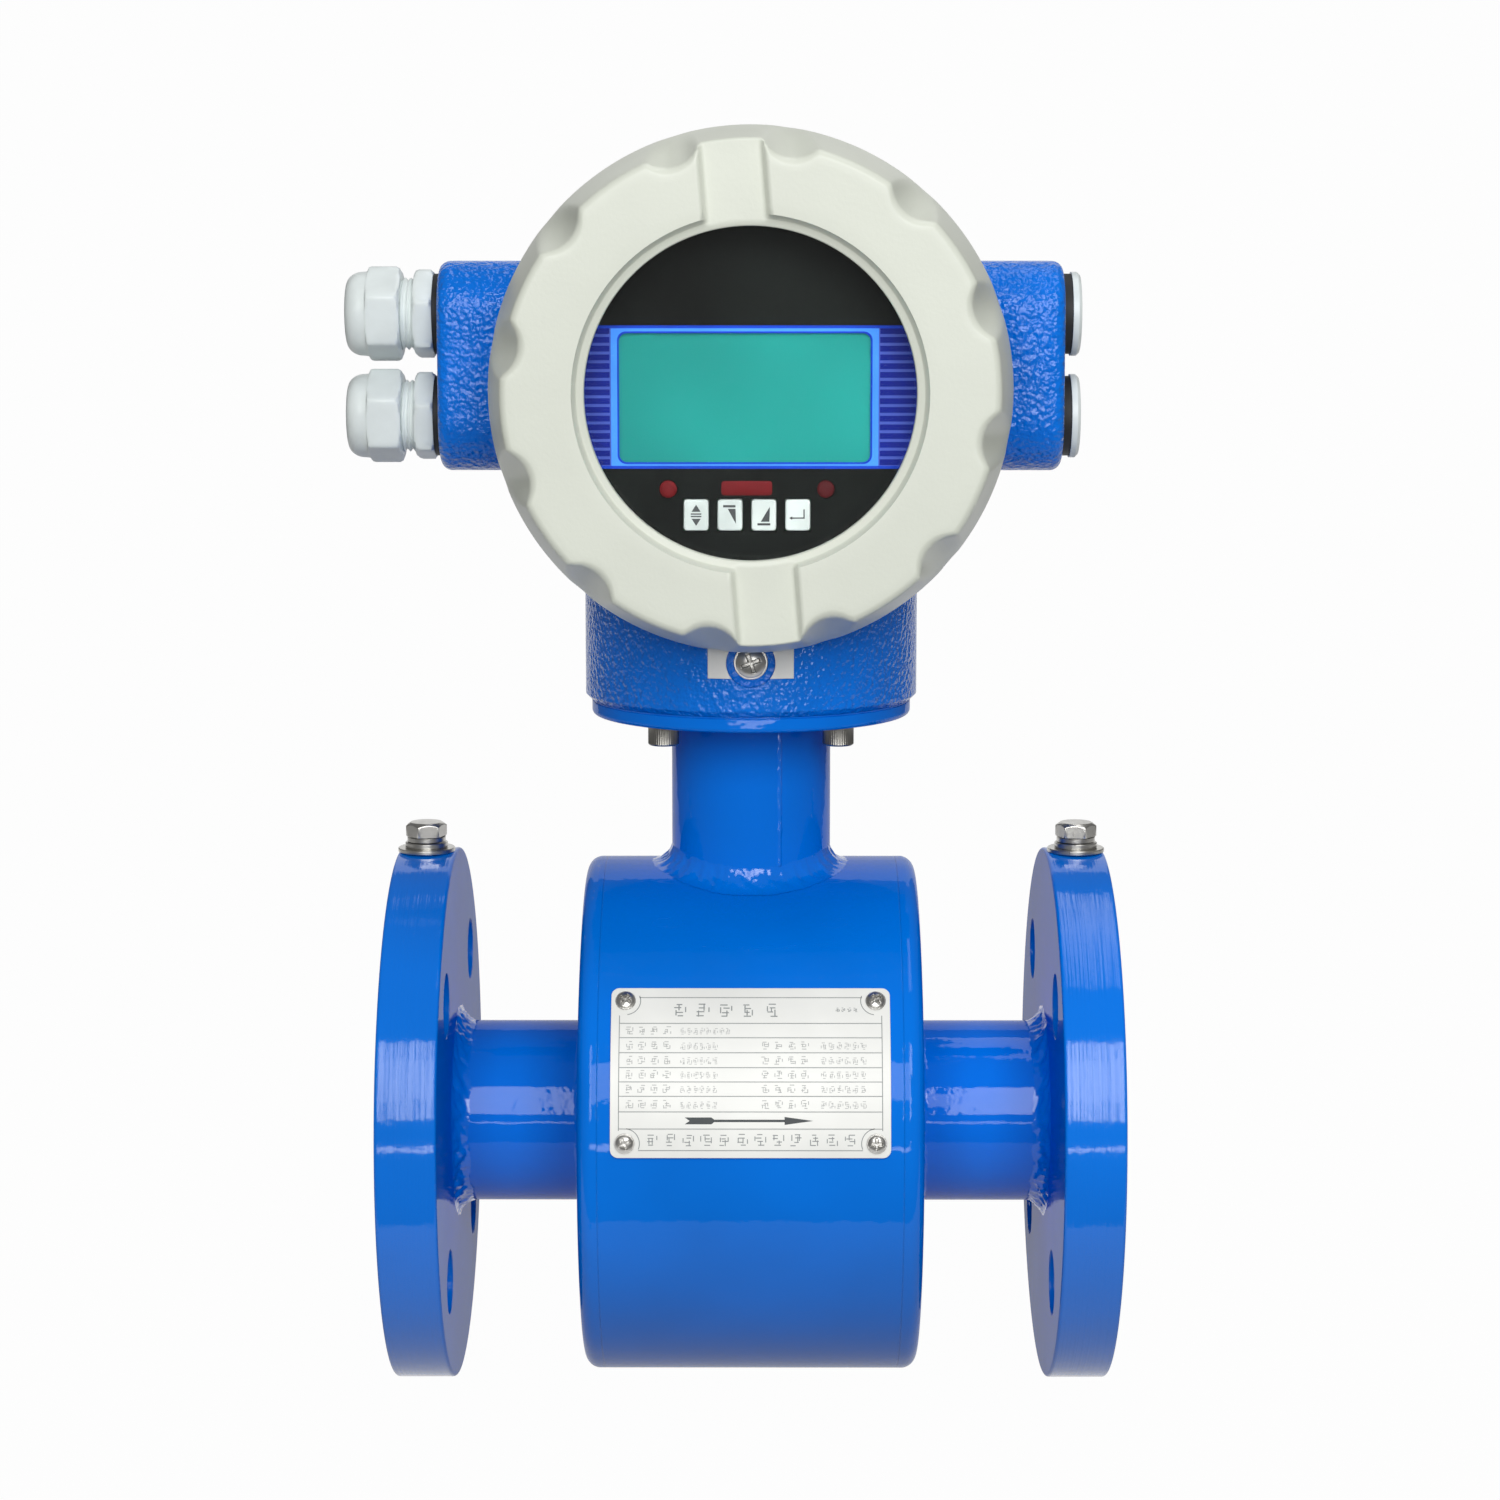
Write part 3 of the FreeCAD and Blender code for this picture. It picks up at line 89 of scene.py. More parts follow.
class Finish:
    """A principled material with helpers for its procedural detail."""

    def __init__(self, name, colour, roughness, metallic=0.0, coat=0.0, coat_roughness=0.05):
        self.material = bpy.data.materials.new(name)
        self.material.use_nodes = True
        self.tree = self.material.node_tree
        self.shader = self.tree.nodes["Principled BSDF"]
        self.colour = colour
        self.set("Base Color", (*colour, 1.0))
        self.set("Roughness", roughness)
        self.set("Metallic", metallic)
        self.set("Coat Weight", coat)
        self.set("Coat Roughness", coat_roughness)
        self.bump_end = None

    def set(self, socket, setting):
        self.shader.inputs[socket].default_value = setting

    def node(self, kind, **inputs):
        item = self.tree.nodes.new(kind)
        for name, setting in inputs.items():
            item.inputs[name].default_value = setting
        return item

    def link(self, source, target):
        self.tree.links.new(source, target)

    def coordinates(self, scale=(1.0, 1.0, 1.0)):
        """Object coordinates in metres, scaled."""
        place = self.node("ShaderNodeTexCoord")
        mapping = self.node("ShaderNodeMapping", Scale=scale)
        self.link(place.outputs["Object"], mapping.inputs["Vector"])
        return mapping.outputs["Vector"]

    def noise(self, scale, detail=2.0, stretch=(1.0, 1.0, 1.0)):
        item = self.node("ShaderNodeTexNoise", Scale=scale, Detail=detail)
        self.link(self.coordinates(stretch), item.inputs["Vector"])
        return item.outputs["Fac"]

    def cells(self, scale):
        item = self.node("ShaderNodeTexVoronoi", Scale=scale)
        item.feature = "SMOOTH_F1"
        item.inputs["Smoothness"].default_value = 1.0
        self.link(self.coordinates(), item.inputs["Vector"])
        return item.outputs["Distance"]

    def ramp(self, source, stops):
        """A blend between two stops of (position, colour)."""
        item = self.node("ShaderNodeValToRGB")
        for element, (position, colour) in zip(item.color_ramp.elements, stops):
            element.position = position
            element.color = (*colour, 1.0)
        self.link(source, item.inputs["Fac"])
        return item.outputs["Color"]

    def math(self, operation, first, second):
        item = self.node("ShaderNodeMath")
        item.operation = operation
        for socket, value in zip(item.inputs, (first, second)):
            if isinstance(value, (int, float)):
                socket.default_value = value
            else:
                self.link(value, socket)
        return item.outputs[0]

    def vary_colour(self, source, low, high):
        """The base colour between two shades of itself, by a 0 to 1 field."""
        dark = tuple(part * low for part in self.colour)
        light = tuple(min(part * high, 1.0) for part in self.colour)
        self.link(self.ramp(source, [(0.35, dark), (0.65, light)]), self.shader.inputs["Base Color"])

    def vary(self, socket, source, low, high):
        """A shader setting between two numbers, by a 0 to 1 field."""
        span = self.node("ShaderNodeMapRange", **{"To Min": low, "To Max": high})
        self.link(source, span.inputs["Value"])
        self.link(span.outputs["Result"], self.shader.inputs[socket])

    def bump(self, source, distance, strength):
        """Another layer of relief, in metres."""
        item = self.node("ShaderNodeBump", Strength=strength, Distance=distance)
        self.link(source, item.inputs["Height"])
        if self.bump_end is not None:
            self.link(self.bump_end, item.inputs["Normal"])
        self.bump_end = item.outputs["Normal"]
        self.link(self.bump_end, self.shader.inputs["Normal"])

    def glossier_rim(self, rim, face):
        """More clear coat on the turned rim than on the flat faces across the pipe."""
        place = self.node("ShaderNodeTexCoord")
        parts = self.node("ShaderNodeSeparateXYZ")
        self.link(place.outputs["Normal"], parts.inputs["Vector"])
        self.vary("Coat Weight", self.math("ABSOLUTE", parts.outputs["X"], 0.0), rim, face)

    def soft_edges(self, radius):
        """Edges that read as rounded by a small radius."""
        item = self.node("ShaderNodeBevel", Radius=radius)
        item.samples = 4
        self.bump_end = item.outputs["Normal"]
        self.link(self.bump_end, self.shader.inputs["Normal"])


def gloss_blue(name, turned=False, wave=0.14, coat=0.45):
    """Sprayed blue enamel: deep gloss, faint orange peel, and lathe marks where it is turned."""
    finish = Finish(name, BLUE, 0.5, coat=coat, coat_roughness=0.07 if turned else 0.035)
    finish.set("Specular IOR Level", 0.0)
    finish.soft_edges(0.0006)
    finish.vary_colour(finish.noise(14.0, 3.0), 0.92, 1.06)
    if turned:
        finish.bump(finish.noise(1.0, 3.0, (1500.0, 6.0, 6.0)), 0.00016, 0.7)
        finish.glossier_rim(0.85, 0.3)
    finish.bump(finish.noise(210.0, 2.0), 0.0002, 0.3)
    finish.bump(finish.noise(45.0, 1.0), 0.0008, wave)
    finish.link(finish.bump_end, finish.shader.inputs["Coat Normal"])
    return finish.material


def hammer_blue():
    """Hammered blue enamel over cast aluminium."""
    finish = Finish("hammer_blue", BLUE, 0.45, coat=0.7, coat_roughness=0.06)
    finish.set("Specular IOR Level", 0.0)
    finish.soft_edges(0.0008)
    finish.vary_colour(finish.noise(40.0, 3.0), 0.9, 1.07)
    finish.bump(finish.noise(640.0, 1.5), 0.0011, 0.6)
    finish.bump(finish.cells(820.0), 0.0007, 0.45)
    finish.link(finish.bump_end, finish.shader.inputs["Coat Normal"])
    return finish.material


def layered(name, colour, roughness, shade, sheen, reliefs, edge=None, **sockets):
    """A finish from noise: shade and sheen are (scale, detail, low, high), reliefs are
    (scale, detail, distance, strength), and sockets go to the shader by name."""
    finish = Finish(name, colour, roughness)
    for socket, setting in sockets.items():
        finish.set(socket.replace("_", " "), setting)
    if edge:
        finish.soft_edges(edge)
    finish.vary_colour(finish.noise(*shade[:2]), *shade[2:])
    finish.vary("Roughness", finish.noise(*sheen[:2]), *sheen[2:])
    for scale, detail, distance, strength in reliefs:
        finish.bump(finish.noise(scale, detail), distance, strength)
    return finish.material


def metal(name, colour, roughness):
    """Bare metal with a directional grain."""
    finish = Finish(name, colour, roughness, metallic=1.0)
    finish.soft_edges(0.0002)
    grain = finish.noise(1.0, 4.0, (900.0, 60.0, 60.0))
    finish.vary_colour(finish.noise(160.0, 3.0), 0.88, 1.05)
    finish.vary("Roughness", grain, roughness * 0.75, roughness * 1.4)
    finish.bump(grain, 0.00003, 0.35)
    return finish.material


def nameplate_metal():
    """Pale anodised plate with a faint brushed grain."""
    finish = Finish("nameplate_pale", (0.86, 0.865, 0.83), 0.46, metallic=0.04)
    finish.soft_edges(0.0002)
    grain = finish.noise(1.0, 3.0, (25.0, 1500.0, 1500.0))
    finish.vary_colour(finish.noise(45.0, 3.0), 0.96, 1.03)
    finish.vary("Roughness", grain, 0.36, 0.5)
    finish.bump(grain, 0.00002, 0.25)
    return finish.material


def plastic(name, colour, roughness, grain=700.0, coat=0.0, relief=0.00006):
    """Moulded plastic or rubber with a faint grain."""
    sheen = (140.0, 2.0, roughness * 0.88, roughness * 1.15)
    return layered(name, colour, roughness, (90.0, 3.0, 0.95, 1.04), sheen,
                   [(grain, 2.0, relief, 0.4)], 0.0003, Coat_Weight=coat)


def printed(name, colour, shine=0.04):
    """Ink or tinted plastic behind the window, with little sheen of its own."""
    return layered(name, colour, 0.6, (60.0, 3.0, 0.88, 1.08), (90.0, 2.0, 0.5, 0.68),
                   [(1600.0, 2.0, 0.00001, 0.2)], Specular_IOR_Level=shine)


def clear_glass():
    """The window's toughened glass."""
    finish = Finish("window_clear", (1.0, 1.0, 1.0), 0.02)
    finish.set("Transmission Weight", 1.0)
    finish.set("IOR", 1.38)
    clear = finish.node("ShaderNodeBsdfTransparent")
    mix = finish.node("ShaderNodeMixShader")
    path = finish.node("ShaderNodeLightPath")
    output = finish.tree.nodes["Material Output"]
    finish.link(path.outputs["Is Shadow Ray"], mix.inputs["Fac"])
    finish.link(finish.shader.outputs["BSDF"], mix.inputs[1])
    finish.link(clear.outputs["BSDF"], mix.inputs[2])
    finish.link(mix.outputs["Shader"], output.inputs["Surface"])
    return finish.material


def coil_copper():
    """Enamelled copper winding."""
    finish = Finish("winding_copper", (0.55, 0.2, 0.08), 0.35, metallic=0.8)
    finish.vary_colour(finish.noise(80.0, 2.0), 0.85, 1.1)
    finish.bump(finish.noise(1.0, 2.0, (40.0, 40.0, 2600.0)), 0.0002, 0.6)
    return finish.material


BLUE = (0.0, 0.172, 0.75)
CREAM = (0.70, 0.73, 0.64)
STEEL = (0.56, 0.55, 0.52)

FINISHES = {
    "gloss": gloss_blue("gloss_blue"),
    "turned": gloss_blue("gloss_blue_turned", turned=True),
    "weld": gloss_blue("gloss_blue_weld", coat=0.9),
    "socket": metal("socket_steel", (0.34, 0.33, 0.3), 0.3),
    "wavy": gloss_blue("gloss_blue_wavy", wave=0.5),
    "hammer": hammer_blue(),
    "cream": layered("cream_coat", CREAM, 0.42, (22.0, 4.0, 0.97, 1.02), (60.0, 3.0, 0.36, 0.5),
                     [(900.0, 2.0, 0.00012, 0.35), (120.0, 2.0, 0.0003, 0.2)],
                     Coat_Weight=0.15, Coat_Roughness=0.3),
    "steel": metal("stainless", STEEL, 0.28),
    "plate": nameplate_metal(),
    "zinc": metal("plated_steel", (0.66, 0.66, 0.67), 0.3),
    "iron": metal("soft_iron", (0.3, 0.3, 0.31), 0.45),
    "ptfe": plastic("ptfe_liner", (0.86, 0.86, 0.83), 0.42, 260.0),
    "nylon": plastic("gland_nylon", (0.76, 0.82, 0.81), 0.36, 520.0),
    "rubber": plastic("black_rubber", (0.018, 0.018, 0.018), 0.6, 900.0),
    "film": layered("panel_film", (0.004, 0.0055, 0.0048), 0.6, (30.0, 3.0, 0.7, 1.5),
                    (80.0, 2.0, 0.5, 0.65), [(1500.0, 2.0, 0.00001, 0.2)],
                    Specular_IOR_Level=0.03),
    "screen": layered("lcd_screen", (0.012, 0.24, 0.212), 0.5, (22.0, 1.0, 0.84, 1.1),
                      (60.0, 2.0, 0.45, 0.6), [(2400.0, 1.0, 0.000006, 0.2)],
                      Specular_IOR_Level=0.04),
    "key": printed("key_cap", (0.5, 0.56, 0.54), 0.08),
    "lamp": printed("lamp_red", (0.12, 0.0008, 0.003), 0.12),
    "lamp_dark": printed("lamp_dark_red", (0.05, 0.0015, 0.003), 0.12),
    "board": plastic("solder_resist", (0.02, 0.16, 0.06), 0.35, 900.0, 0.3),
    "terminal": plastic("terminal_green", (0.03, 0.25, 0.09), 0.4, 600.0),
    "bush": plastic("bush_insulation", (0.75, 0.7, 0.58), 0.5, 500.0),
    "label": plastic("label_white", (0.82, 0.82, 0.79), 0.32, 300.0, 0.2, 0.00001),
    "copper": coil_copper(),
    "glass": clear_glass(),
    "band_line": printed("band_line_print", (0.05, 0.085, 0.38)),
    "band_navy": printed("band_navy_print", (0.004, 0.012, 0.19)),
    "band_deep": printed("band_deep_print", (0.006, 0.04, 0.42)),
    "band_light": printed("band_light_print", (0.05, 0.24, 0.85)),
    "mark": plastic("key_mark_print", (0.012, 0.018, 0.02), 0.45, 900.0),
    "print_grey": plastic("print_grey", (0.27, 0.29, 0.29), 0.5, 900.0),
    "print_faint": plastic("print_faint", (0.44, 0.45, 0.44), 0.5, 900.0),
    "print_dark": plastic("print_dark", (0.03, 0.04, 0.045), 0.45, 900.0),
}

NODE_FINISH = {
    "gloss": ["coil_housing_shell", "neck_tube", "weld_beads", "measuring_tube", "housing_gasket"],
    "wavy": ["left_end_plate", "right_end_plate", "neck_flange"],
    "turned": ["inlet_flange", "outlet_flange"],
    "hammer": ["converter_housing"],
    "cream": ["front_cover", "rear_cover"],
    "steel": ["front_electrode", "rear_electrode", "electrode_springs", "electrode_nuts",
              "ground_bolts", "ground_tag_washers", "ground_plain_washers",
              "ground_spring_washers", "nameplate_rivets", "housing_screws", "earth_screw"],
    "plate": ["nameplate"],
    "zinc": ["window_retaining_ring", "board_pillars"],
    "iron": ["upper_pole_shoe", "lower_pole_shoe", "flux_return_band"],
    "ptfe": ["tube_liner"],
    "nylon": ["upper_gland_body", "lower_gland_body", "upper_gland_nut", "lower_gland_nut",
              "blanking_plugs"],
    "rubber": ["window_gasket", "front_cover_seal", "rear_cover_seal",
               "gland_washers", "plug_washers", "upper_gland_insert", "lower_gland_insert"],
    "film": ["display_panel"],
    "screen": ["lcd_module"],
    "key": ["select_key", "down_key", "up_key", "enter_key"],
    "lamp": ["status_lamps", "infrared_window"],
    "board": ["display_board", "main_board", "terminal_board"],
    "terminal": ["terminal_block"],
    "bush": ["electrode_bushes"],
    "label": ["earth_label"],
    "copper": ["upper_coil", "lower_coil"],
    "glass": ["window_glass"],
}

for finish_name, node_names in NODE_FINISH.items():
    for node_name in node_names:
        data = nodes[node_name].data
        data.materials.clear()
        data.materials.append(FINISHES[finish_name])


# Mesh helpers


def added(name, data):
    """A new object in the scene."""
    item = bpy.data.objects.new(name, data)
    bpy.context.scene.collection.objects.link(item)
    return item


def piece(name, mesh, finish, body, smooth):
    """A scene piece from a bmesh, finished and riding on a body."""
    data = bpy.data.meshes.new(name)
    mesh.normal_update()
    mesh.to_mesh(data)
    mesh.free()
    item = added(name, data)
    data.materials.append(FINISHES[finish])
    data.shade_smooth()
    if smooth is not None:
        data.set_sharp_from_angle(angle=radians(smooth))
    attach(item, body)
    return item


def solid(name, mesh, finish, slot, *replaced, body="meter", smooth=35.0):
    """A piece with its faces turned outward, in place of CAD nodes."""
    bmesh.ops.recalc_face_normals(mesh, faces=mesh.faces)
    item = piece(name, mesh, finish, body, smooth)
    if replaced:
        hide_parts(*replaced)


def steel(name, mesh, *replaced):
    """A stainless piece on the meter."""
    solid(name, mesh, "steel", "stainless_steel", *replaced)


def film(name, mesh, finish, body="meter"):
    """A flat printed piece."""
    piece(name, mesh, finish, body, None)


def polar(radius, angle, height=0.0):
    """A point by its distance and direction from local Z."""
    return Vector((radius * cos(angle), radius * sin(angle), height))


def around(count):
    """The angles of equal steps round a circle."""
    return [2 * pi * index / count for index in range(count)]


def grid_skin(mesh, rows, closed_rows=False, closed_columns=True):
    """Faces between rows of points; each row is a list of the same length."""
    verts = [[mesh.verts.new(point) for point in row] for row in rows]
    count = len(rows[0])
    pairs = list(zip(verts, verts[1:]))
    if closed_rows:
        pairs.append((verts[-1], verts[0]))
    for near, far in pairs:
        for j in range(count if closed_columns else count - 1):
            k = (j + 1) % count
            mesh.faces.new((near[j], near[k], far[k], far[j]))
    return verts


# Covers


COVER_RADIUS = size("front_cover").x / 2
COVER_BACK = -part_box("front_cover")[1].y
COVER_FRONT = -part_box("front_cover")[0].y
NOTCHES = 12
NOTCH_FLOOR = 59.7 * MM
NOTCH_RADIUS = 9.0 * MM
NOTCH_RUN = 23.0 * MM
FACE_RADIUS = 63.6 * MM
FACE_INNER = 45.4 * MM
FACE_STEP = 3.0 * MM
WINDOW_RADIUS = 42.5 * MM
LAND = 56.0 * MM
COVER_TURN = radians(4.5)
GRIP_HALF = 7.5 * MM
GRIP_SLOPE = 1.2 * MM
GRIP_REACH = 55.0 * MM
SEAT_BORE = 52.3 * MM
THREAD_BORE = 60.4 * MM
SEAL_BORE = 62.8 * MM
SEAL_DEPTH = 3.0 * MM
SHOULDER = 61.0 * MM
COLUMNS = 576


def clamped(value):
    """A number held between 0 and 1."""
    return min(max(value, 0.0), 1.0)


def eased(value):
    """A ramp from 0 to 1 with soft ends."""
    share = clamped(value)
    return share * share * (3 - 2 * share)


def smooth_min(first, second, blend):
    """The smaller of two lengths, with the corner between them rounded."""
    gap = max(blend - abs(first - second), 0.0) / blend
    return min(first, second) - gap * gap * blend * 0.25


def skirt_radius(height):
    """The cover's outside without its notches, by distance from the head's middle."""
    if height <= LAND:
        return COVER_RADIUS
    share = (height - LAND) / (COVER_FRONT - LAND)
    return COVER_RADIUS + (FACE_RADIUS - COVER_RADIUS) * (0.75 * share + 0.25 * share * share)


def outer_radius(angle, height):
    """The cover's outside with its scooped notches."""
    slope = (COVER_RADIUS - NOTCH_FLOOR) / NOTCH_RUN
    centre = NOTCH_FLOOR + NOTCH_RADIUS + slope * (COVER_FRONT - height)
    pitch = 2 * pi / NOTCHES
    offset = (angle - pi / 2) / pitch - 0.5
    swing = (offset - round(offset)) * pitch
    side = centre * sin(swing)
    plain = skirt_radius(height)
    if abs(side) < NOTCH_RADIUS:
        notch = centre * cos(swing) - sqrt(NOTCH_RADIUS ** 2 - side ** 2)
    else:
        notch = centre * cos(swing) + (abs(side) - NOTCH_RADIUS) * 3
    return smooth_min(plain, notch, 1.6 * MM)


def face_point(angle, radius, height):
    """A point of the cover's face: the columns beside a groove run parallel to it."""
    swing = (angle - pi / 2 + pi / 2) % pi - pi / 2
    weight = eased(1.0 - (abs(swing) - 0.2) / 0.35)
    straight = asin(max(-1.0, min(1.0, GRIP_REACH * sin(swing) / radius)))
    bent = angle + (straight - swing) * weight
    lateral = abs(radius * cos(bent))
    share = eased((lateral - GRIP_HALF) / GRIP_SLOPE)
    floor = COVER_FRONT - FACE_STEP
    level = floor + (height - floor) * share if height > floor else height
    return polar(radius, bent, level)


def cover_rows():
    """Rows of points from the cover's back rim, over its face, to the face's sunken floor."""
    angles = around(COLUMNS)
    floor = COVER_FRONT - FACE_STEP
    edge = 1.7 * MM
    rim = 1.2 * MM
    rows = []

    def outside(height, inset=0.0):
        level = min(height, COVER_FRONT - 0.2 * MM)
        rows.append([face_point(a, outer_radius(a, level) - inset, height) for a in angles])

    for step in range(5):
        turn = pi / 2 * step / 4
        outside(COVER_BACK + rim * (1 - sin(turn)), rim * (1 - cos(turn)))
    rows.reverse()
    for step in range(1, 19):
        outside(COVER_BACK + rim + (COVER_FRONT - edge - COVER_BACK - rim) * step / 18)
    for step in range(1, 7):
        turn = pi / 2 * step / 6
        outside(COVER_FRONT - edge * (1 - sin(turn)), edge * (1 - cos(turn)))
    last = rows[-1]
    for step in range(1, 8):
        share = step / 8
        row = []
        for angle, start in zip(angles, last):
            radius = hypot(start.x, start.y) * (1 - share) + (FACE_INNER + 0.5 * MM) * share
            row.append(face_point(angle, radius, COVER_FRONT))
        rows.append(row)
    for radius, height in ((FACE_INNER + 0.2 * MM, COVER_FRONT - 0.1 * MM),
                           (FACE_INNER, COVER_FRONT - 0.4 * MM),
                           (FACE_INNER - 0.8 * MM, floor + 0.3 * MM), (FACE_INNER - 1.1 * MM, floor)):
        rows.append([face_point(angle, radius, height) for angle in angles])
    return rows


def make_cover(name, node, blind, outward):
    """A cast cover with scooped notches, two grip grooves and, in front, its window."""
    floor = COVER_FRONT - FACE_STEP
    seat = floor - (5.0 if blind else 3.0) * MM

    def ring(radius, height):
        return [polar(radius, angle, height) for angle in around(COLUMNS)]

    rows = cover_rows()
    bore = [ring(SEAT_BORE, seat), ring(SEAT_BORE, SHOULDER), ring(THREAD_BORE, SHOULDER),
            ring(THREAD_BORE, COVER_BACK + SEAL_DEPTH), ring(SEAL_BORE, COVER_BACK + SEAL_DEPTH),
            ring(SEAL_BORE, COVER_BACK)]
    if blind:
        rows = bore + rows + [ring(radius * MM, floor) for radius in (40.0, 30.0, 20.0, 10.0, 3.0)]
    else:
        rows += [ring(WINDOW_RADIUS + 0.3 * MM, floor), ring(WINDOW_RADIUS, floor - 0.3 * MM),
                 ring(WINDOW_RADIUS, seat)] + bore
    mesh = bmesh.new()
    verts = grid_skin(mesh, rows, closed_rows=not blind)
    if blind:
        mesh.faces.new(verts[0])
        mesh.faces.new(verts[-1])
    facing = Matrix.Rotation(pi / 2 * outward, 4, "X") @ Matrix.Rotation(COVER_TURN, 4, "Z")
    mesh.transform(Matrix.Translation(HEAD) @ facing)
    solid(name, mesh, "cream", "cream_paint", node, body=node, smooth=50.0)


make_cover("front_cover_casting", "front_cover", False, 1)
make_cover("rear_cover_casting", "rear_cover", True, -1)


# Turned, hexagonal and printed forms


def aimed(at, along):
    """A matrix that stands local +Z along a direction at a point."""
    turn = Vector(along).to_track_quat("Z", "Y").to_matrix().to_4x4()
    return Matrix.Translation(Vector(at)) @ turn


def lathe(mesh, profile, count, place, radius_at=None, closed=False):
    """Turn a profile of (radius, height) round local Z, with poles where the radius is 0."""
    rings = []
    for radius, height in profile:
        if radius <= 0.0:
            rings.append([mesh.verts.new(place @ polar(0.0, 0.0, height))])
            continue
        ring = []
        for angle in around(count):
            far = radius_at(angle, radius, height) if radius_at else radius
            ring.append(mesh.verts.new(place @ polar(far, angle, height)))
        rings.append(ring)
    pairs = list(zip(rings, rings[1:]))
    if closed:
        pairs.append((rings[-1], rings[0]))
    for near, far in pairs:
        for j in range(count):
            k = (j + 1) % count
            corners = [near[j % len(near)], near[k % len(near)], far[k % len(far)], far[j % len(far)]]
            corners = [item for n, item in enumerate(corners) if item not in corners[:n]]
            if len(corners) > 2:
                mesh.faces.new(corners)


def rounded_box(width, height, corner):
    """The outline of a rounded rectangle round the origin."""
    steps = 6
    points = []
    for index, (x, y) in enumerate(((1, 1), (-1, 1), (-1, -1), (1, -1))):
        centre = (x * (width / 2 - corner), y * (height / 2 - corner))
        for step in range(steps + 1):
            angle = pi / 2 * (index + step / steps)
            points.append((centre[0] + corner * cos(angle), centre[1] + corner * sin(angle)))
    return points


def drawn_in(outline, distance):
    """An outline moved inward by a distance."""
    moved = []
    count = len(outline)
    for index, (x, y) in enumerate(outline):
        before, after = outline[index - 1], outline[(index + 1) % count]
        along = Vector((after[0] - before[0], after[1] - before[1])).normalized()
        moved.append((x - along.y * distance, y + along.x * distance))
    return moved


def slab(mesh, outline, low, high, place, rounding, steps=4):
    """A solid on an outline, with its top edge rounded."""
    rows = [[(x, y, low) for x, y in outline]]
    rows.append([(x, y, high - rounding) for x, y in outline])
    for step in range(1, steps + 1):
        turn = pi / 2 * step / steps
        inner = drawn_in(outline, rounding * (1 - cos(turn)))
        rows.append([(x, y, high - rounding * (1 - sin(turn))) for x, y in inner])
    verts = grid_skin(mesh, [[place @ Vector(point) for point in row] for row in rows])
    mesh.faces.new(verts[-1])
    mesh.faces.new(list(reversed(verts[0])))


def flat(mesh, outline, place, lift):
    """One printed patch on a surface."""
    mesh.faces.new([mesh.verts.new(place @ Vector((x, y, lift))) for x, y in outline])


def hexagon_reach(angle, flats, corner_angle=0.0):
    """The distance from a hexagon's middle to its side."""
    swing = (angle - corner_angle) % (pi / 3) - pi / 6
    return flats / 2 / cos(swing)


def thread_wave(angle, height, pitch):
    """A rounded thread form between 0 and 1."""
    share = (height / pitch + angle / (2 * pi)) % 1.0
    return 0.5 + 0.5 * sin(2 * pi * share)


# Welds


BEAD_STEPS = 520


def bead_run(mesh, frame_at, leg, rough, seed):
    """A weld in a corner: frame_at gives the corner point and its two open directions."""
    rows = []
    for angle in around(BEAD_STEPS):
        corner, first, second = frame_at(angle)
        away = Vector((cos(angle) * 3.1 + seed, sin(angle) * 3.1, seed * 0.7))
        swell = 1.0 + 0.16 * noise.noise(away * 1.3) + 0.08 * noise.noise(away * 5.1)
        row = []
        for step in range(13):
            turn = pi / 2 * step / 12
            reach = leg * swell
            lump = noise.noise(away * 2.6 + Vector((step * 0.25, 0.0, step * 0.1)))
            lump += 0.5 * noise.noise(away * 6.5 + Vector((0.0, step * 0.55, step * 0.2)))
            lift = rough * (0.35 + lump) * sin(2 * turn)
            across = reach * (1 - sin(turn)) + lift
            up = reach * (1 - cos(turn)) + lift
            row.append(corner + first * across + second * up - (first + second) * 0.02 * MM)
        rows.append(row)
    grid_skin(mesh, rows, closed_rows=True, closed_columns=False)


def pipe_corner(station, side):
    """The corner between the measuring tube and a plate across it."""
    def frame_at(angle):
        out = Vector((0.0, cos(angle), sin(angle)))
        return Vector((station, 0.0, 0.0)) + out * TUBE_RADIUS, out, Vector((side, 0.0, 0.0))
    return frame_at


def neck_corner(angle):
    """The corner between the neck and the round housing."""
    out = polar(1.0, angle)
    place = out * NECK_RADIUS
    place.z = sqrt(HOUSING_RADIUS ** 2 - place.y ** 2)
    normal = Vector((0.0, place.y, place.z)).normalized()
    along = (out - normal * out.dot(normal)).normalized()
    return place, along, Vector((0.0, 0.0, 1.0))


def make_welds():
    """The welds at the flanges, the end plates and the foot of the neck, painted over."""
    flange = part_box("weld_beads")[1].x
    mesh = bmesh.new()
    for station, side, leg, rough, seed in (
            (-flange, 1.0, 4.6, 0.6, 1.7), (flange, -1.0, 4.6, 0.6, 5.2),
            (-HOUSING_HALF, -1.0, 3.0, 0.3, 8.1), (HOUSING_HALF, 1.0, 3.0, 0.3, 3.6)):
        bead_run(mesh, pipe_corner(station, side), leg * MM, rough * MM, seed)
    bead_run(mesh, neck_corner, 5.4 * MM, 0.3 * MM, 6.4)
    solid("weld_runs", mesh, "weld", "blue_gloss_paint", "weld_beads", smooth=None)


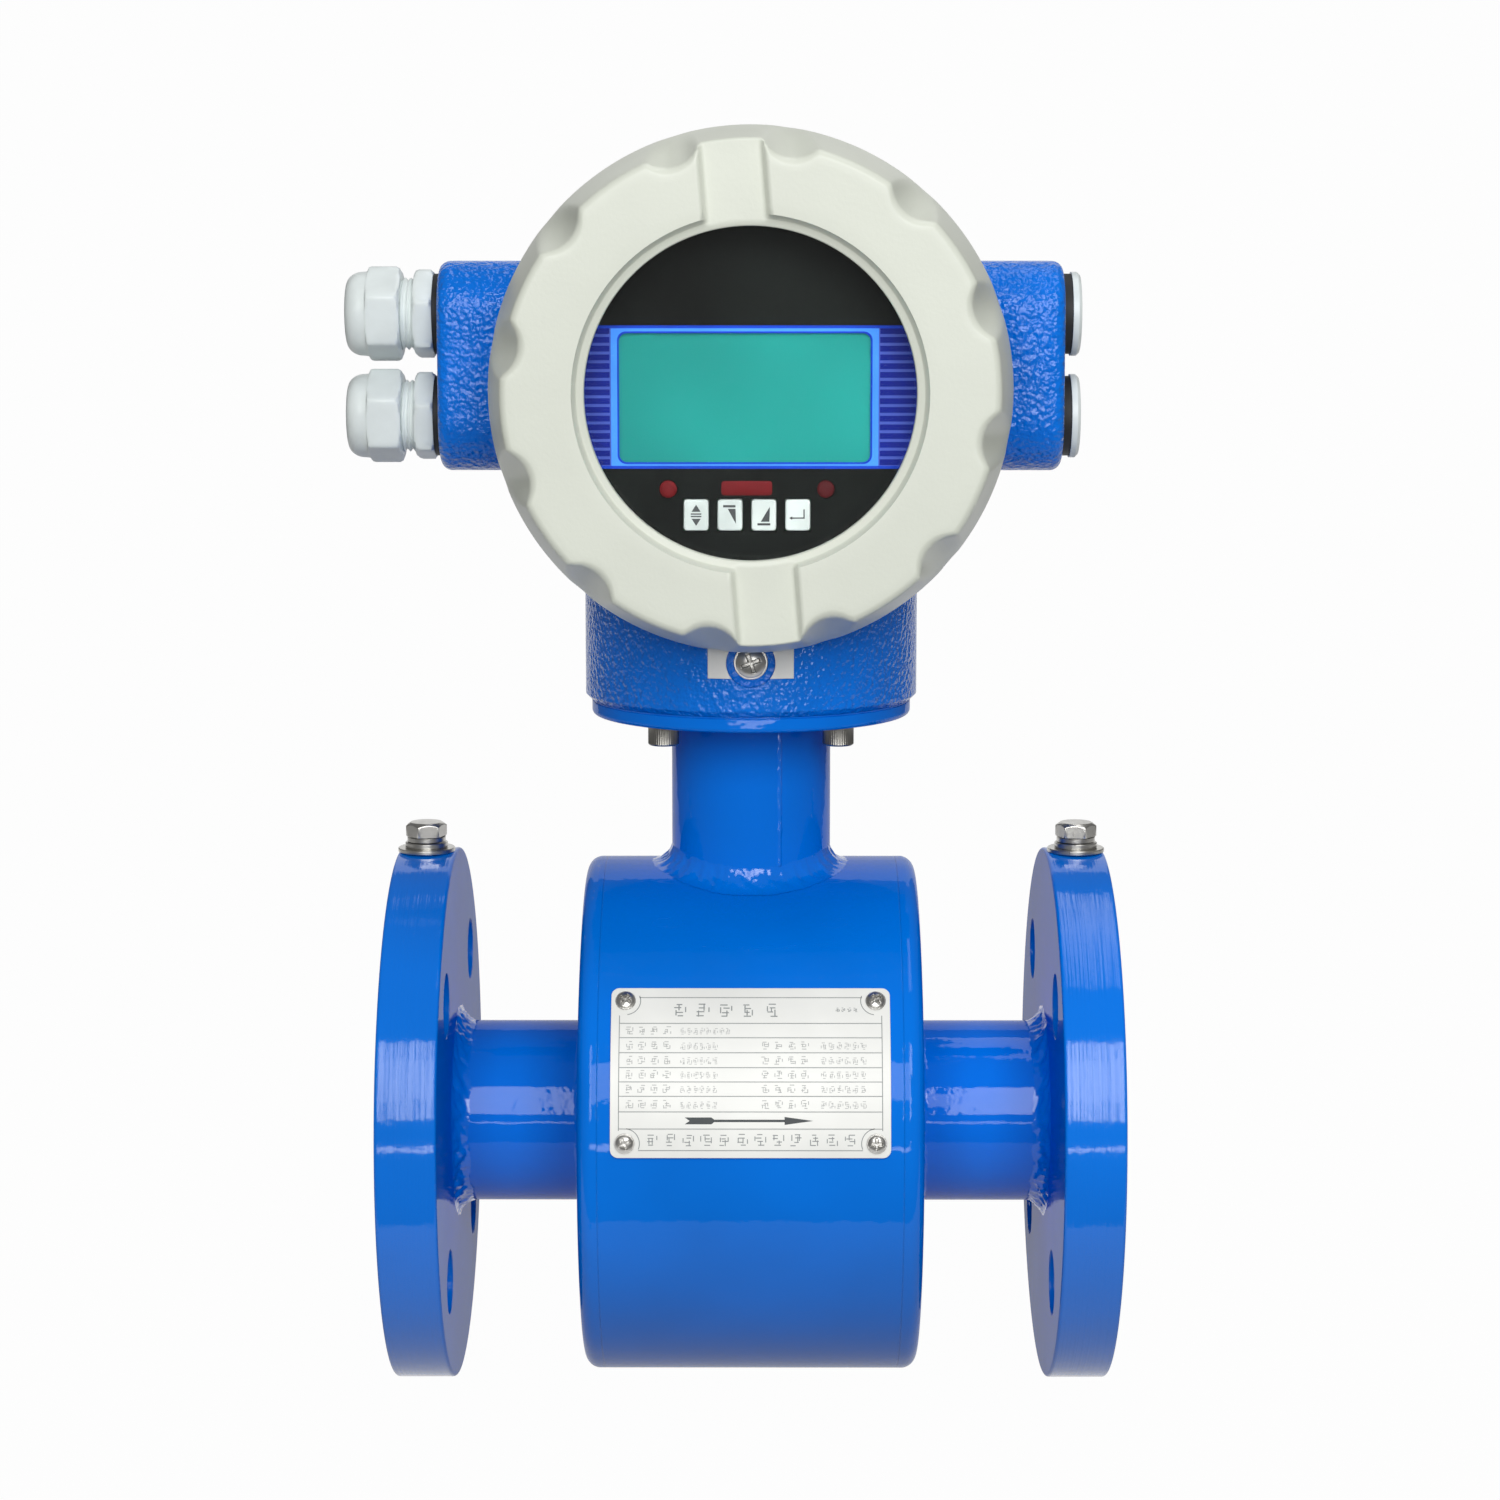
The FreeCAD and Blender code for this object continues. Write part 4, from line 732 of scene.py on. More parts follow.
def make_seam():
    """The neck's long weld seam, ground down and painted over."""
    mesh = bmesh.new()
    angle = radians(-69.0)
    rows = []
    low = HOUSING_RADIUS + 2.0 * MM
    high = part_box("neck_tube")[1].z - 4.0 * MM
    for index in range(121):
        height = low + (high - low) * index / 120
        wander = 0.12 * MM * noise.noise(Vector((height * 130.0, 0.3, 0.0)))
        width = (0.42 + 0.14 * noise.noise(Vector((height * 420.0, 4.1, 0.0)))) * MM
        rise = (0.38 + 0.15 * noise.noise(Vector((height * 700.0, 7.7, 0.0)))) * MM
        row = []
        for step in range(7):
            across = (step / 3 - 1) * width * 1.6 + wander
            bend = angle + across / NECK_RADIUS
            radius = NECK_RADIUS - 0.02 * MM + rise * cos(pi / 2 * (step / 3 - 1)) ** 2
            row.append(polar(radius, bend, height))
        rows.append(row)
    grid_skin(mesh, rows, closed_columns=False)
    solid("neck_seam", mesh, "weld", "blue_gloss_paint", smooth=None)


def make_joint_paint():
    """The paint that bridges the joint between the neck flange and the converter."""
    low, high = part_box("housing_gasket")
    radius = size("neck_flange").x / 2 - 0.25 * MM
    mesh = bmesh.new()

    def wave(angle, far, height):
        return far + 0.12 * MM * noise.noise(polar(9.0, angle))

    inner = radius - 1.2 * MM
    crown = (radius + 0.1 * MM, (low.z + high.z) / 2)
    lathe(mesh, [(inner, low.z), (radius, low.z), crown, (radius, high.z), (inner, high.z)],
          360, Matrix(), wave, closed=True)
    solid("joint_paint", mesh, "weld", "blue_gloss_paint", smooth=60.0)


make_welds()
make_seam()
make_joint_paint()


# Fasteners


def hex_head(mesh, place, flats, height):
    """A hexagon head whose top corners are turned off."""
    corner = flats / sqrt(3)

    def reach(angle, radius, level):
        return smooth_min(hexagon_reach(angle, flats), radius, 0.25 * MM)

    rows = [(0.0, 0.0), (corner * 0.97, 0.0), (corner * 1.2, 0.25 * MM), (corner * 1.2, height * 0.5)]
    for step in range(9):
        share = step / 8
        rows.append((corner * 1.03 - (corner * 1.03 - flats * 0.44) * share,
                     height - 1.1 * MM * (1 - share)))
    top = height + 0.02 * MM
    lathe(mesh, rows + [(flats * 0.4, top), (0.0, top)], 144, place, reach)


def washer(mesh, place, inner, outer, low, high, edge):
    """A flat washer with its edges broken."""
    lathe(mesh, [
        (inner + edge, low), (outer - edge, low), (outer, low + edge), (outer, high - edge),
        (outer - edge, high), (inner + edge, high), (inner, high - edge), (inner, low + edge),
    ], 96, place, closed=True)


def split_washer(mesh, place, inner, outer, low, high):
    """A spring washer: one turn of square wire with its cut ends apart."""
    rows = []
    rise = (high - low) * 0.22
    thick = (high - low) * 0.76
    for index in range(97):
        share = index / 96
        angle = radians(66.0) + radians(348.0) * share
        base = low + rise * share
        row = []
        for radius, level in ((inner, base), (outer, base + 0.06 * MM), (outer, base + thick),
                              (inner, base + thick + 0.02 * MM)):
            row.append(place @ polar(radius, angle, level))
        rows.append(row)
    verts = grid_skin(mesh, rows)
    mesh.faces.new(verts[0])
    mesh.faces.new(list(reversed(verts[-1])))


def make_ground_bolts():
    """The hexagon bolt and its three washers on the rim of each flange."""
    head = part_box("ground_bolts")[1].z
    foot = FLANGE_RADIUS - 11.0 * MM
    shank = 2.9 * MM
    spring_low, seat = (corner.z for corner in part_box("ground_spring_washers"))
    for name, station, twist in (("inlet", -GROUND_STATION, 12.0), ("outlet", GROUND_STATION, -7.0)):
        place = Matrix.Translation((station, 0.0, 0.0))
        turn = Matrix.Rotation(radians(twist), 4, "Z")
        mesh = bmesh.new()
        hex_head(mesh, Matrix.Translation((station, 0.0, seat)) @ turn, 10.0 * MM, head - seat)
        lathe(mesh, [(0.0, foot), (shank, foot), (shank, seat), (0.0, seat)], 32, place)
        steel(name + "_ground_bolt", mesh, "ground_bolts")
        mesh = bmesh.new()
        split_washer(mesh, place @ turn, 3.15 * MM, 5.4 * MM, spring_low, seat)
        steel(name + "_spring_washer", mesh, "ground_spring_washers")
        mesh = bmesh.new()
        low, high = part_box("ground_plain_washers")
        washer(mesh, place, 3.2 * MM, 6.0 * MM, low.z, high.z, 0.25 * MM)
        low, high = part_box("ground_tag_washers")
        washer(mesh, place, 3.2 * MM, 8.0 * MM, low.z, high.z, 0.2 * MM)
        steel(name + "_flat_washers", mesh, "ground_plain_washers", "ground_tag_washers")


def make_socket_screws():
    """Four knurled socket screws under the neck flange."""
    radius = 4.25 * MM
    spread = size("housing_screws").x / 2 - radius
    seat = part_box("neck_flange")[0].z
    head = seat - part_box("housing_screws")[0].z + 1.0 * MM

    def knurl(angle, far, height):
        if far > 4.0 * MM and 0.5 * MM < height < head - 0.5 * MM:
            return far - 0.16 * MM * (0.5 + 0.5 * cos(angle * 44))
        if 1.9 * MM < far < 2.6 * MM:
            return hexagon_reach(angle, 4.0 * MM)
        return far

    for across in (-spread, spread):
        for deep in (-spread, spread):
            mesh = bmesh.new()
            place = aimed((across, deep, seat), (0.0, 0.0, -1.0))
            lathe(mesh, [
                (0.0, -14.0 * MM), (2.4 * MM, -14.0 * MM), (2.45 * MM, 0.0), (4.1 * MM, 0.0),
                (radius, 0.2 * MM), (radius, 0.6 * MM), (radius, head - 0.7 * MM),
                (radius, head - 0.45 * MM), (4.05 * MM, head - 0.15 * MM), (3.8 * MM, head),
                (2.5 * MM, head), (2.3 * MM, head - 0.2 * MM), (2.3 * MM, head - 2.5 * MM),
                (0.0, head - 3.0 * MM),
            ], 176, place, knurl)
            solid("socket_screw", mesh, "socket", "stainless_steel", "housing_screws")


def cross_head(mesh, place, radius, height, recess, arm, turn):
    """A domed screw head with a cross recess."""
    angles = around(96)
    rings = 22
    rows = []
    for ring in range(1, rings + 1):
        far = radius * ring / rings
        dome = height * (1 - 0.62 * (far / radius) ** 2.6)
        fade = 1.0 - clamped((far - radius * 0.6) / (radius * 0.1))
        row = []
        for angle in angles:
            local = (angle - turn) % (pi / 2)
            side = far * min(abs(sin(local)), abs(cos(local)))
            within = 1.0 - clamped((side - arm) / (arm * 0.35))
            level = dome - recess * within * fade * (1 - 0.35 * far / radius)
            row.append(place @ polar(far, angle, level))
        rows.append(row)
    rows.append([place @ polar(radius, angle) for angle in angles])
    verts = grid_skin(mesh, rows)
    mesh.faces.new(list(reversed(verts[-1])))
    top = mesh.verts.new(place @ polar(0.0, 0.0, height - recess))
    for near, far in zip(verts[0], verts[0][1:] + verts[0][:1]):
        mesh.faces.new((top, near, far))


def make_earth_screw():
    """The earth screw in its recess, on a plain washer."""
    low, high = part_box("earth_screw")
    centre = (low + high) / 2
    seat = low.y + 2.6 * MM
    place = aimed((centre.x, seat, centre.z), FRONT)
    mesh = bmesh.new()
    washer(mesh, place, 2.1 * MM, 4.6 * MM, 0.0, 0.5 * MM, 0.12 * MM)
    head = aimed((centre.x, seat - 0.5 * MM, centre.z), FRONT)
    cross_head(mesh, head, 4.0 * MM, 2.1 * MM, 1.1 * MM, 0.42 * MM, radians(20.0))
    shank = aimed((centre.x, seat, centre.z), (0.0, 1.0, 0.0))
    reach = high.y - seat
    lathe(mesh, [(0.0, 0.0), (1.95 * MM, 0.0), (1.95 * MM, reach), (0.0, reach)], 24, shank)
    steel("earth_screw_head", mesh, "earth_screw")


make_ground_bolts()
make_socket_screws()
make_earth_screw()


# Cable glands


BODY_TURN = radians(15.0)
NUT_TURN = radians(22.0)


def threaded(radius, start, end, step):
    """Points close enough together along a cylinder to carry a thread."""
    points = []
    while start < end:
        points.append((radius, start))
        start += step
    return points


def make_gland(name):
    """One nylon gland: hexagon body with a threaded neck, and its domed nut."""
    body_low, body_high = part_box(name + "_gland_body")
    nut_low, nut_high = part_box(name + "_gland_nut")
    place = aimed((0.0, 0.0, (nut_low.z + nut_high.z) / 2), (-1.0, 0.0, 0.0))
    seat = -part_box("gland_washers")[0].x
    hex_end = seat + 5.3 * MM
    nut_start = -nut_high.x
    nut_end = -nut_low.x
    body_end = -body_low.x
    inner_end = -body_high.x
    pitch = 1.5 * MM

    def body_reach(angle, radius, height):
        if radius > 10.6 * MM:
            return smooth_min(hexagon_reach(angle, 22.0 * MM, BODY_TURN), radius, 0.8 * MM)
        if radius > 8.0 * MM and (height < seat or hex_end + 0.4 * MM < height < nut_start + 1.2 * MM):
            return radius - 0.75 * MM * thread_wave(angle, height, pitch)
        return radius

    profile = [
        (6.5 * MM, inner_end), (8.6 * MM, inner_end),
        *threaded(9.4 * MM, inner_end + 0.3 * MM, seat, 0.25 * MM),
        (9.4 * MM, seat), (11.6 * MM, seat), (12.9 * MM, seat + 0.6 * MM),
        (12.9 * MM, hex_end - 1.3 * MM), (12.2 * MM, hex_end - 0.5 * MM), (11.2 * MM, hex_end),
        (10.5 * MM, hex_end), (9.6 * MM, hex_end + 0.1 * MM),
        *threaded(9.9 * MM, hex_end + 0.45 * MM, nut_start + 1.2 * MM, 0.2 * MM),
        (8.9 * MM, nut_start + 1.4 * MM), (8.9 * MM, body_end), (6.5 * MM, body_end),
    ]
    mesh = bmesh.new()
    lathe(mesh, profile, 120, place, body_reach, closed=True)
    solid(name + "_gland_hexagon", mesh, "nylon", "gland_nylon", name + "_gland_body", smooth=45.0)

    def nut_reach(angle, radius, height):
        if radius < 9.0 * MM:
            return radius
        return smooth_min(hexagon_reach(angle, 23.0 * MM, NUT_TURN), radius, 0.7 * MM)

    shoulder = nut_start + 9.2 * MM
    profile = [
        (9.35 * MM, nut_start), (11.4 * MM, nut_start), (12.6 * MM, nut_start + 0.5 * MM),
        (13.4 * MM, nut_start + 1.3 * MM), (13.4 * MM, shoulder - 1.0 * MM),
        (12.9 * MM, shoulder - 0.3 * MM), (12.2 * MM, shoulder), (11.75 * MM, shoulder + 0.12 * MM),
        (11.6 * MM, shoulder + 0.5 * MM),
    ]
    tip = 7.9 * MM
    start = shoulder + 1.6 * MM
    for step in range(15):
        turn = pi / 2 * step / 14
        reach = tip + (11.5 * MM - tip) * cos(turn)
        profile.append((reach, start + (nut_end - start) * sin(turn)))
    mouth = 5.8 * MM
    profile += [(mouth + 1.4 * MM, nut_end), (mouth + 0.3 * MM, nut_end - 0.5 * MM)]
    floor = nut_end - 3.6 * MM
    profile += [(mouth, nut_end - 1.2 * MM), (mouth, floor), (9.35 * MM, floor - 1.2 * MM)]
    mesh = bmesh.new()
    lathe(mesh, profile, 168, place, nut_reach, closed=True)
    solid(name + "_gland_cap", mesh, "nylon", "gland_nylon", name + "_gland_nut", body=name + "_nut",
          smooth=45.0)


make_gland("upper")
make_gland("lower")


# Display


PANEL_RADIUS = 50.4 * MM
STRIPE_PITCH = 2.25 * MM


def disc_half(level):
    """Half the width of the round panel at a height."""
    return sqrt(max(PANEL_RADIUS * PANEL_RADIUS - level * level, 0.0))


def make_display():
    """The printed band with its frame and stripes, and the marks under the screen."""
    front = -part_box("display_panel")[0].y
    place = aimed((0.0, -front, HEAD.z), FRONT)
    centre = middle("lcd_module") - HEAD
    wide, tall = 65.0 * MM, 33.2 * MM
    low, high = -19.7 * MM, 17.2 * MM
    frame_wide = wide + 4.2 * MM
    left, right = centre.x - frame_wide / 2, centre.x + frame_wide / 2
    mesh = bmesh.new()
    for index in range(24):
        bottom = low + (high - low) * index / 24
        top = low + (high - low) * (index + 1) / 24
        flat(mesh, [(-disc_half(bottom), bottom), (left, bottom), (left, top), (-disc_half(top), top)],
             place, 0.02 * MM)
        flat(mesh, [(right, bottom), (disc_half(bottom), bottom), (disc_half(top), top), (right, top)],
             place, 0.02 * MM)
    film("band_ground", mesh, "band_line")
    mesh = bmesh.new()
    for index in range(16):
        bottom = low + 0.95 * MM + STRIPE_PITCH * index
        top = bottom + 1.5 * MM
        if top > high:
            break
        for side, inner in ((-1, left - 0.35 * MM), (1, right + 0.35 * MM)):
            outline = [(inner, bottom), (side * disc_half(bottom), bottom),
                       (side * disc_half(top), top), (inner, top)]
            flat(mesh, outline[::side], place, 0.04 * MM)
    film("band_stripes", mesh, "band_navy")
    mesh = bmesh.new()
    for bottom, top in ((low, low + 0.75 * MM), (high - 0.75 * MM, high)):
        outline = [(-disc_half(bottom), bottom), (disc_half(bottom), bottom),
                   (disc_half(top), top), (-disc_half(top), top)]
        flat(mesh, outline, place, 0.045 * MM)
    border = rounded_box(wide + 1.0 * MM, tall + 1.0 * MM, 2.3 * MM)
    ring_between(mesh, border, rounded_box(wide, tall, 2.0 * MM), place, centre, 0.07 * MM)
    film("band_edges", mesh, "band_deep")
    mesh = bmesh.new()
    ring_between(mesh, rounded_box(frame_wide, high - low - 1.5 * MM, 0.05 * MM), border, place,
                 Vector((centre.x, 0.0, (low + high) / 2)), 0.055 * MM, centre)
    film("band_frame", mesh, "band_light")
    make_lamps(front)


def make_lamps(front):
    """Two status lamps and the infrared window, each in a thin black rim."""
    low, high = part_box("status_lamps")
    level = middle("status_lamps").z
    for name, across, finish in (("left_lamp", low.x + 2.5 * MM, "lamp"),
                                 ("right_lamp", high.x - 2.5 * MM, "lamp_dark")):
        mesh = bmesh.new()
        where = aimed((across, -front, level), FRONT)
        lathe(mesh, [(0.0, -3.0 * MM), (2.25 * MM, -3.0 * MM), (2.25 * MM, 0.1 * MM),
                     (2.0 * MM, 0.3 * MM), (1.2 * MM, 0.48 * MM), (0.0, 0.55 * MM)], 48, where)
        solid(name, mesh, finish, "lamp_red", "status_lamps", smooth=40.0)
        mesh = bmesh.new()
        lathe(mesh, [(2.3 * MM, -0.2 * MM), (2.75 * MM, -0.2 * MM), (2.7 * MM, 0.16 * MM),
                     (2.4 * MM, 0.16 * MM)], 48, where, closed=True)
        solid(name + "_rim", mesh, "film", "panel_film", smooth=40.0)
    centre = middle("infrared_window")
    where = aimed((centre.x, -front, centre.z + 0.25 * MM), FRONT)
    mesh = bmesh.new()
    pane = rounded_box(13.2 * MM, 3.7 * MM, 0.8 * MM)
    slab(mesh, pane, -3.0 * MM, 0.06 * MM, where, 0.05 * MM, 2)
    solid("infrared_cover", mesh, "lamp", "lamp_red", "infrared_window", smooth=40.0)
    mesh = bmesh.new()
    ring_between(mesh, rounded_box(14.4 * MM, 5.1 * MM, 0.5 * MM), pane, where, Vector(), 0.02 * MM)
    film("infrared_rim", mesh, "film")


def ring_between(mesh, outer, inner, place, outer_centre, lift, inner_centre=None):
    """A flat frame between two outlines of the same number of points."""
    rows = []
    for outline, centre in ((outer, outer_centre), (inner, inner_centre or outer_centre)):
        rows.append([place @ Vector((x + centre.x, y + centre.z, lift)) for x, y in outline])
    grid_skin(mesh, rows)


def make_key(name, marks):
    """One key cap with its printed mark."""
    low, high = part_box(name + "_key")
    centre = middle(name + "_key")
    width, height = high.x - low.x, high.z - low.z
    place = aimed((centre.x, high.y, centre.z), FRONT)
    mesh = bmesh.new()
    slab(mesh, rounded_box(width, height, 0.9 * MM), 0.0, high.y - low.y, place, 0.5 * MM)
    key = name + "_key"
    solid(key + "_cap", mesh, "key", "key_rubber", key, body=key, smooth=40.0)
    mesh = bmesh.new()
    for mark in marks:
        outline = [(x * 1.2 * MM, y * 1.2 * MM) for x, y in mark]
        flat(mesh, outline, place, high.y - low.y + 0.02 * MM)
    film(key + "_mark", mesh, "mark", key)


make_display()
make_key("select", [
    [(-1.0, 0.75), (1.0, 0.75), (0.0, 2.3)],
    [(-1.0, -0.75), (0.0, -2.3), (1.0, -0.75)],
    [(-1.15, 0.12), (1.15, 0.12), (1.15, 0.42), (-1.15, 0.42)],
    [(-1.15, -0.42), (1.15, -0.42), (1.15, -0.12), (-1.15, -0.12)],
])
make_key("down", [
    [(-1.5, 1.7), (1.2, 1.7), (1.2, 2.2), (-1.5, 2.2)],
    [(-0.5, 1.4), (1.3, -1.9), (1.2, 1.4)],
])
make_key("up", [
    [(-1.4, -2.2), (1.4, -2.2), (1.4, -1.7), (-1.4, -1.7)],
    [(-0.7, -1.4), (1.2, -1.4), (1.3, 1.9)],
])
make_key("enter", [
    [(-1.5, -0.75), (1.5, -0.75), (1.5, -0.45), (-1.5, -0.45)],
    [(1.2, -0.45), (1.5, -0.45), (1.5, 1.3), (1.2, 1.3)],
    [(-1.9, -0.6), (-1.2, -1.0), (-1.2, -0.2)],
])


# Nameplate


PLATE_RADIUS = 73.4 * MM
PLATE_START = radians(4.4)
PLATE_HALF = size("nameplate").x / 2
PLATE_INSET = 3.8 * MM
PRINT_LIFT = 0.03 * MM
PLATE_ARC = PLATE_RADIUS * radians(36.1)
PLATE_CORNERS = [(across, up) for across in (-PLATE_HALF + PLATE_INSET, PLATE_HALF - PLATE_INSET)
                 for up in (PLATE_INSET, PLATE_ARC - PLATE_INSET)]


def plate_point(across, up, lift=0.0):
    """A point of the curved plate, by its distance along the pipe and up the arc."""
    angle = PLATE_START + up / PLATE_RADIUS
    radius = PLATE_RADIUS + lift
    return Vector((across, -radius * cos(angle), radius * sin(angle)))


def plate_bar(mesh, left, low, right, high):
    """A printed bar that follows the plate's curve."""
    steps = max(1, int((high - low) / (1.5 * MM)) + 1)
    rows = []
    for step in range(steps + 1):
        up = low + (high - low) * step / steps
        rows.append([plate_point(left, up, PRINT_LIFT), plate_point(right, up, PRINT_LIFT)])
    grid_skin(mesh, rows, closed_columns=False)


def mark_print(mesh, across, up, count, pitch, height, stroke, seed):
    """Unreadable print: a few broken strokes in each cell, and no real letters.  Millimetres."""
    across, up, pitch, height, stroke = (part * MM for part in (across, up, pitch, height, stroke))
    for index in range(count):
        pick = random.Random(seed * 1000 + index)
        start = across + pitch * index
        wide = min(pitch * 0.8, height)
        for turn in range(4):
            level = up + height * (0.06 + 0.29 * turn + pick.uniform(-0.05, 0.05))
            near = start + wide * pick.uniform(0.0, 0.45)
            far = near + wide * pick.uniform(0.35, 0.55)
            plate_bar(mesh, near, level - stroke, far, level + stroke)
        for turn in range(3):
            place = start + wide * (0.15 + 0.35 * turn + pick.uniform(-0.12, 0.12))
            foot = up + height * pick.uniform(0.0, 0.5)
            top = foot + height * pick.uniform(0.3, 0.5)
            plate_bar(mesh, place - stroke, foot, place + stroke, top)


def make_nameplate_print():
    """Border, ruled rows, flow arrow and blocks of unreadable print."""
    rule = 0.11 * MM
    left, right = -34.9 * MM, 34.9 * MM
    low, high = 2.0 * MM, 43.4 * MM
    notch = 5.2 * MM
    mesh = bmesh.new()
    for level in (low, high):
        plate_bar(mesh, left + notch, level - rule, right - notch, level + rule)
    for level in (7.7, 12.2, 16.3, 20.1, 23.9, 27.9, 32.0, 36.0):
        plate_bar(mesh, left, level * MM - rule, right, level * MM + rule)
    for side in (left, right):
        plate_bar(mesh, side - rule, low + notch, side + rule, high - notch)
    for across, up in PLATE_CORNERS:
        turn = atan2(PLATE_ARC / 2 - up, -across)
        rows = []
        for radius in (3.9 * MM, 4.12 * MM):
            bends = [turn + radians(-52 + 104 * step / 12) for step in range(13)]
            rows.append([plate_point(across + radius * cos(bend), up + radius * sin(bend), PRINT_LIFT)
                         for bend in bends])
        grid_skin(mesh, rows, closed_columns=False)
    film("plate_rules", mesh, "print_grey")
    mesh = bmesh.new()
    mark_print(mesh, -20.6, 37.8, 5, 6.05, 3.9, 0.15, 1)
    mark_print(mesh, 22.5, 39.3, 4, 1.6, 1.2, 0.07, 2)
    mark_print(mesh, -27.5, 3.2, 12, 4.75, 3.2, 0.12, 3)
    film("plate_heading_print", mesh, "print_grey")
    mesh = bmesh.new()
    for row, level in enumerate((32.9, 28.8, 24.8, 21.0, 17.2, 13.1)):
        mark_print(mesh, -33.2, level, 4, 3.3, 2.2, 0.1, 10 + row)
        mark_print(mesh, -18.6, level, 6 if row else 8, 1.7, 1.8, 0.07, 20 + row)
        if row:
            mark_print(mesh, 2.8, level, 4, 3.5, 2.2, 0.1, 30 + row)
            mark_print(mesh, 18.6, level, 6, 2.1, 1.9, 0.08, 40 + row)
    film("plate_row_print", mesh, "print_faint")
    mesh = bmesh.new()
    up = 9.85 * MM
    for part in ([(-17.4, 0.9), (-16.1, 0.0), (-10.3, 0.0), (-10.3, 0.9)],
                 [(-17.4, -0.9), (-10.3, -0.9), (-10.3, 0.0), (-16.1, 0.0)],
                 [(-10.3, -0.9), (-9.6, -0.32), (-9.6, 0.32), (-10.3, 0.9)],
                 [(-9.6, -0.32), (9.0, -0.32), (9.0, 0.32), (-9.6, 0.32)],
                 [(9.0, -1.05), (16.6, 0.0), (9.0, 1.05)]):
        mesh.faces.new([mesh.verts.new(plate_point(x * MM, up + y * MM, 0.035 * MM)) for x, y in part])
    film("plate_flow_arrow", mesh, "print_dark")


def make_plate_screws():
    """Four small domed screws that hold the plate."""
    for count, (across, up) in enumerate(PLATE_CORNERS):
        where = plate_point(across, up)
        outward = Vector((0.0, where.y, where.z)).normalized()
        mesh = bmesh.new()
        washer(mesh, aimed(where, outward), 1.2 * MM, 2.7 * MM, 0.0, 0.35 * MM, 0.1 * MM)
        cross_head(mesh, aimed(where + outward * 0.3 * MM, outward), 2.3 * MM, 1.0 * MM, 0.85 * MM,
                   0.36 * MM, radians(25.0 + 33.0 * count))
        steel("plate_screw", mesh, "nameplate_rivets")


make_nameplate_print()
make_plate_screws()


# Studio


GLOW_SHARE = 0.98
WORLD_LIGHT = 0.2
CAMERA_PLACE = (0.0020, -0.9459, 0.2430)
CAMERA_PITCH = radians(8.37)
CAMERA_YAW = radians(0.14)
CAMERA_LENS = 81.6
# name, place, target, width, height, watts
SOFTBOXES = [
    ("front_left_box", (-0.32, -1.5, 0.74), (-0.32, 0.0, 0.1), 0.34, 1.0, 7.4),
    ("front_centre_box", (0.0, -1.5, 0.74), (0.0, 0.0, 0.1), 0.3, 0.5, 2.0),
    ("front_right_box", (0.38, -1.5, 0.74), (0.38, 0.0, 0.1), 0.46, 1.0, 11.8),
    ("low_strip", (0.0, -1.5, -0.05), (0.0, 0.0, 0.0), 0.9, 0.05, 1.0),
    ("top_box", (0.3, 0.1, 1.6), (0.0, 0.0, 0.1), 1.6, 0.4, 5.2),
]


def stage_material():
    """White floor and backdrop that keep the object's soft shadow."""
    finish = Finish("studio_white", (0.3, 0.3, 0.3), 0.9)
    finish.set("Specular IOR Level", 0.0)
    glow = finish.node("ShaderNodeEmission", Color=(1.0, 1.0, 1.0, 1.0))
    path = finish.node("ShaderNodeLightPath")
    mix = finish.node("ShaderNodeMixShader")
    seen = finish.math("MAXIMUM", path.outputs["Is Camera Ray"], path.outputs["Is Glossy Ray"])
    seen = finish.math("MAXIMUM", seen, path.outputs["Is Transmission Ray"])
    finish.link(finish.math("MULTIPLY", seen, GLOW_SHARE), mix.inputs["Fac"])
    finish.link(finish.shader.outputs["BSDF"], mix.inputs[1])
    finish.link(glow.outputs["Emission"], mix.inputs[2])
    finish.link(mix.outputs["Shader"], finish.tree.nodes["Material Output"].inputs["Surface"])
    return finish.material


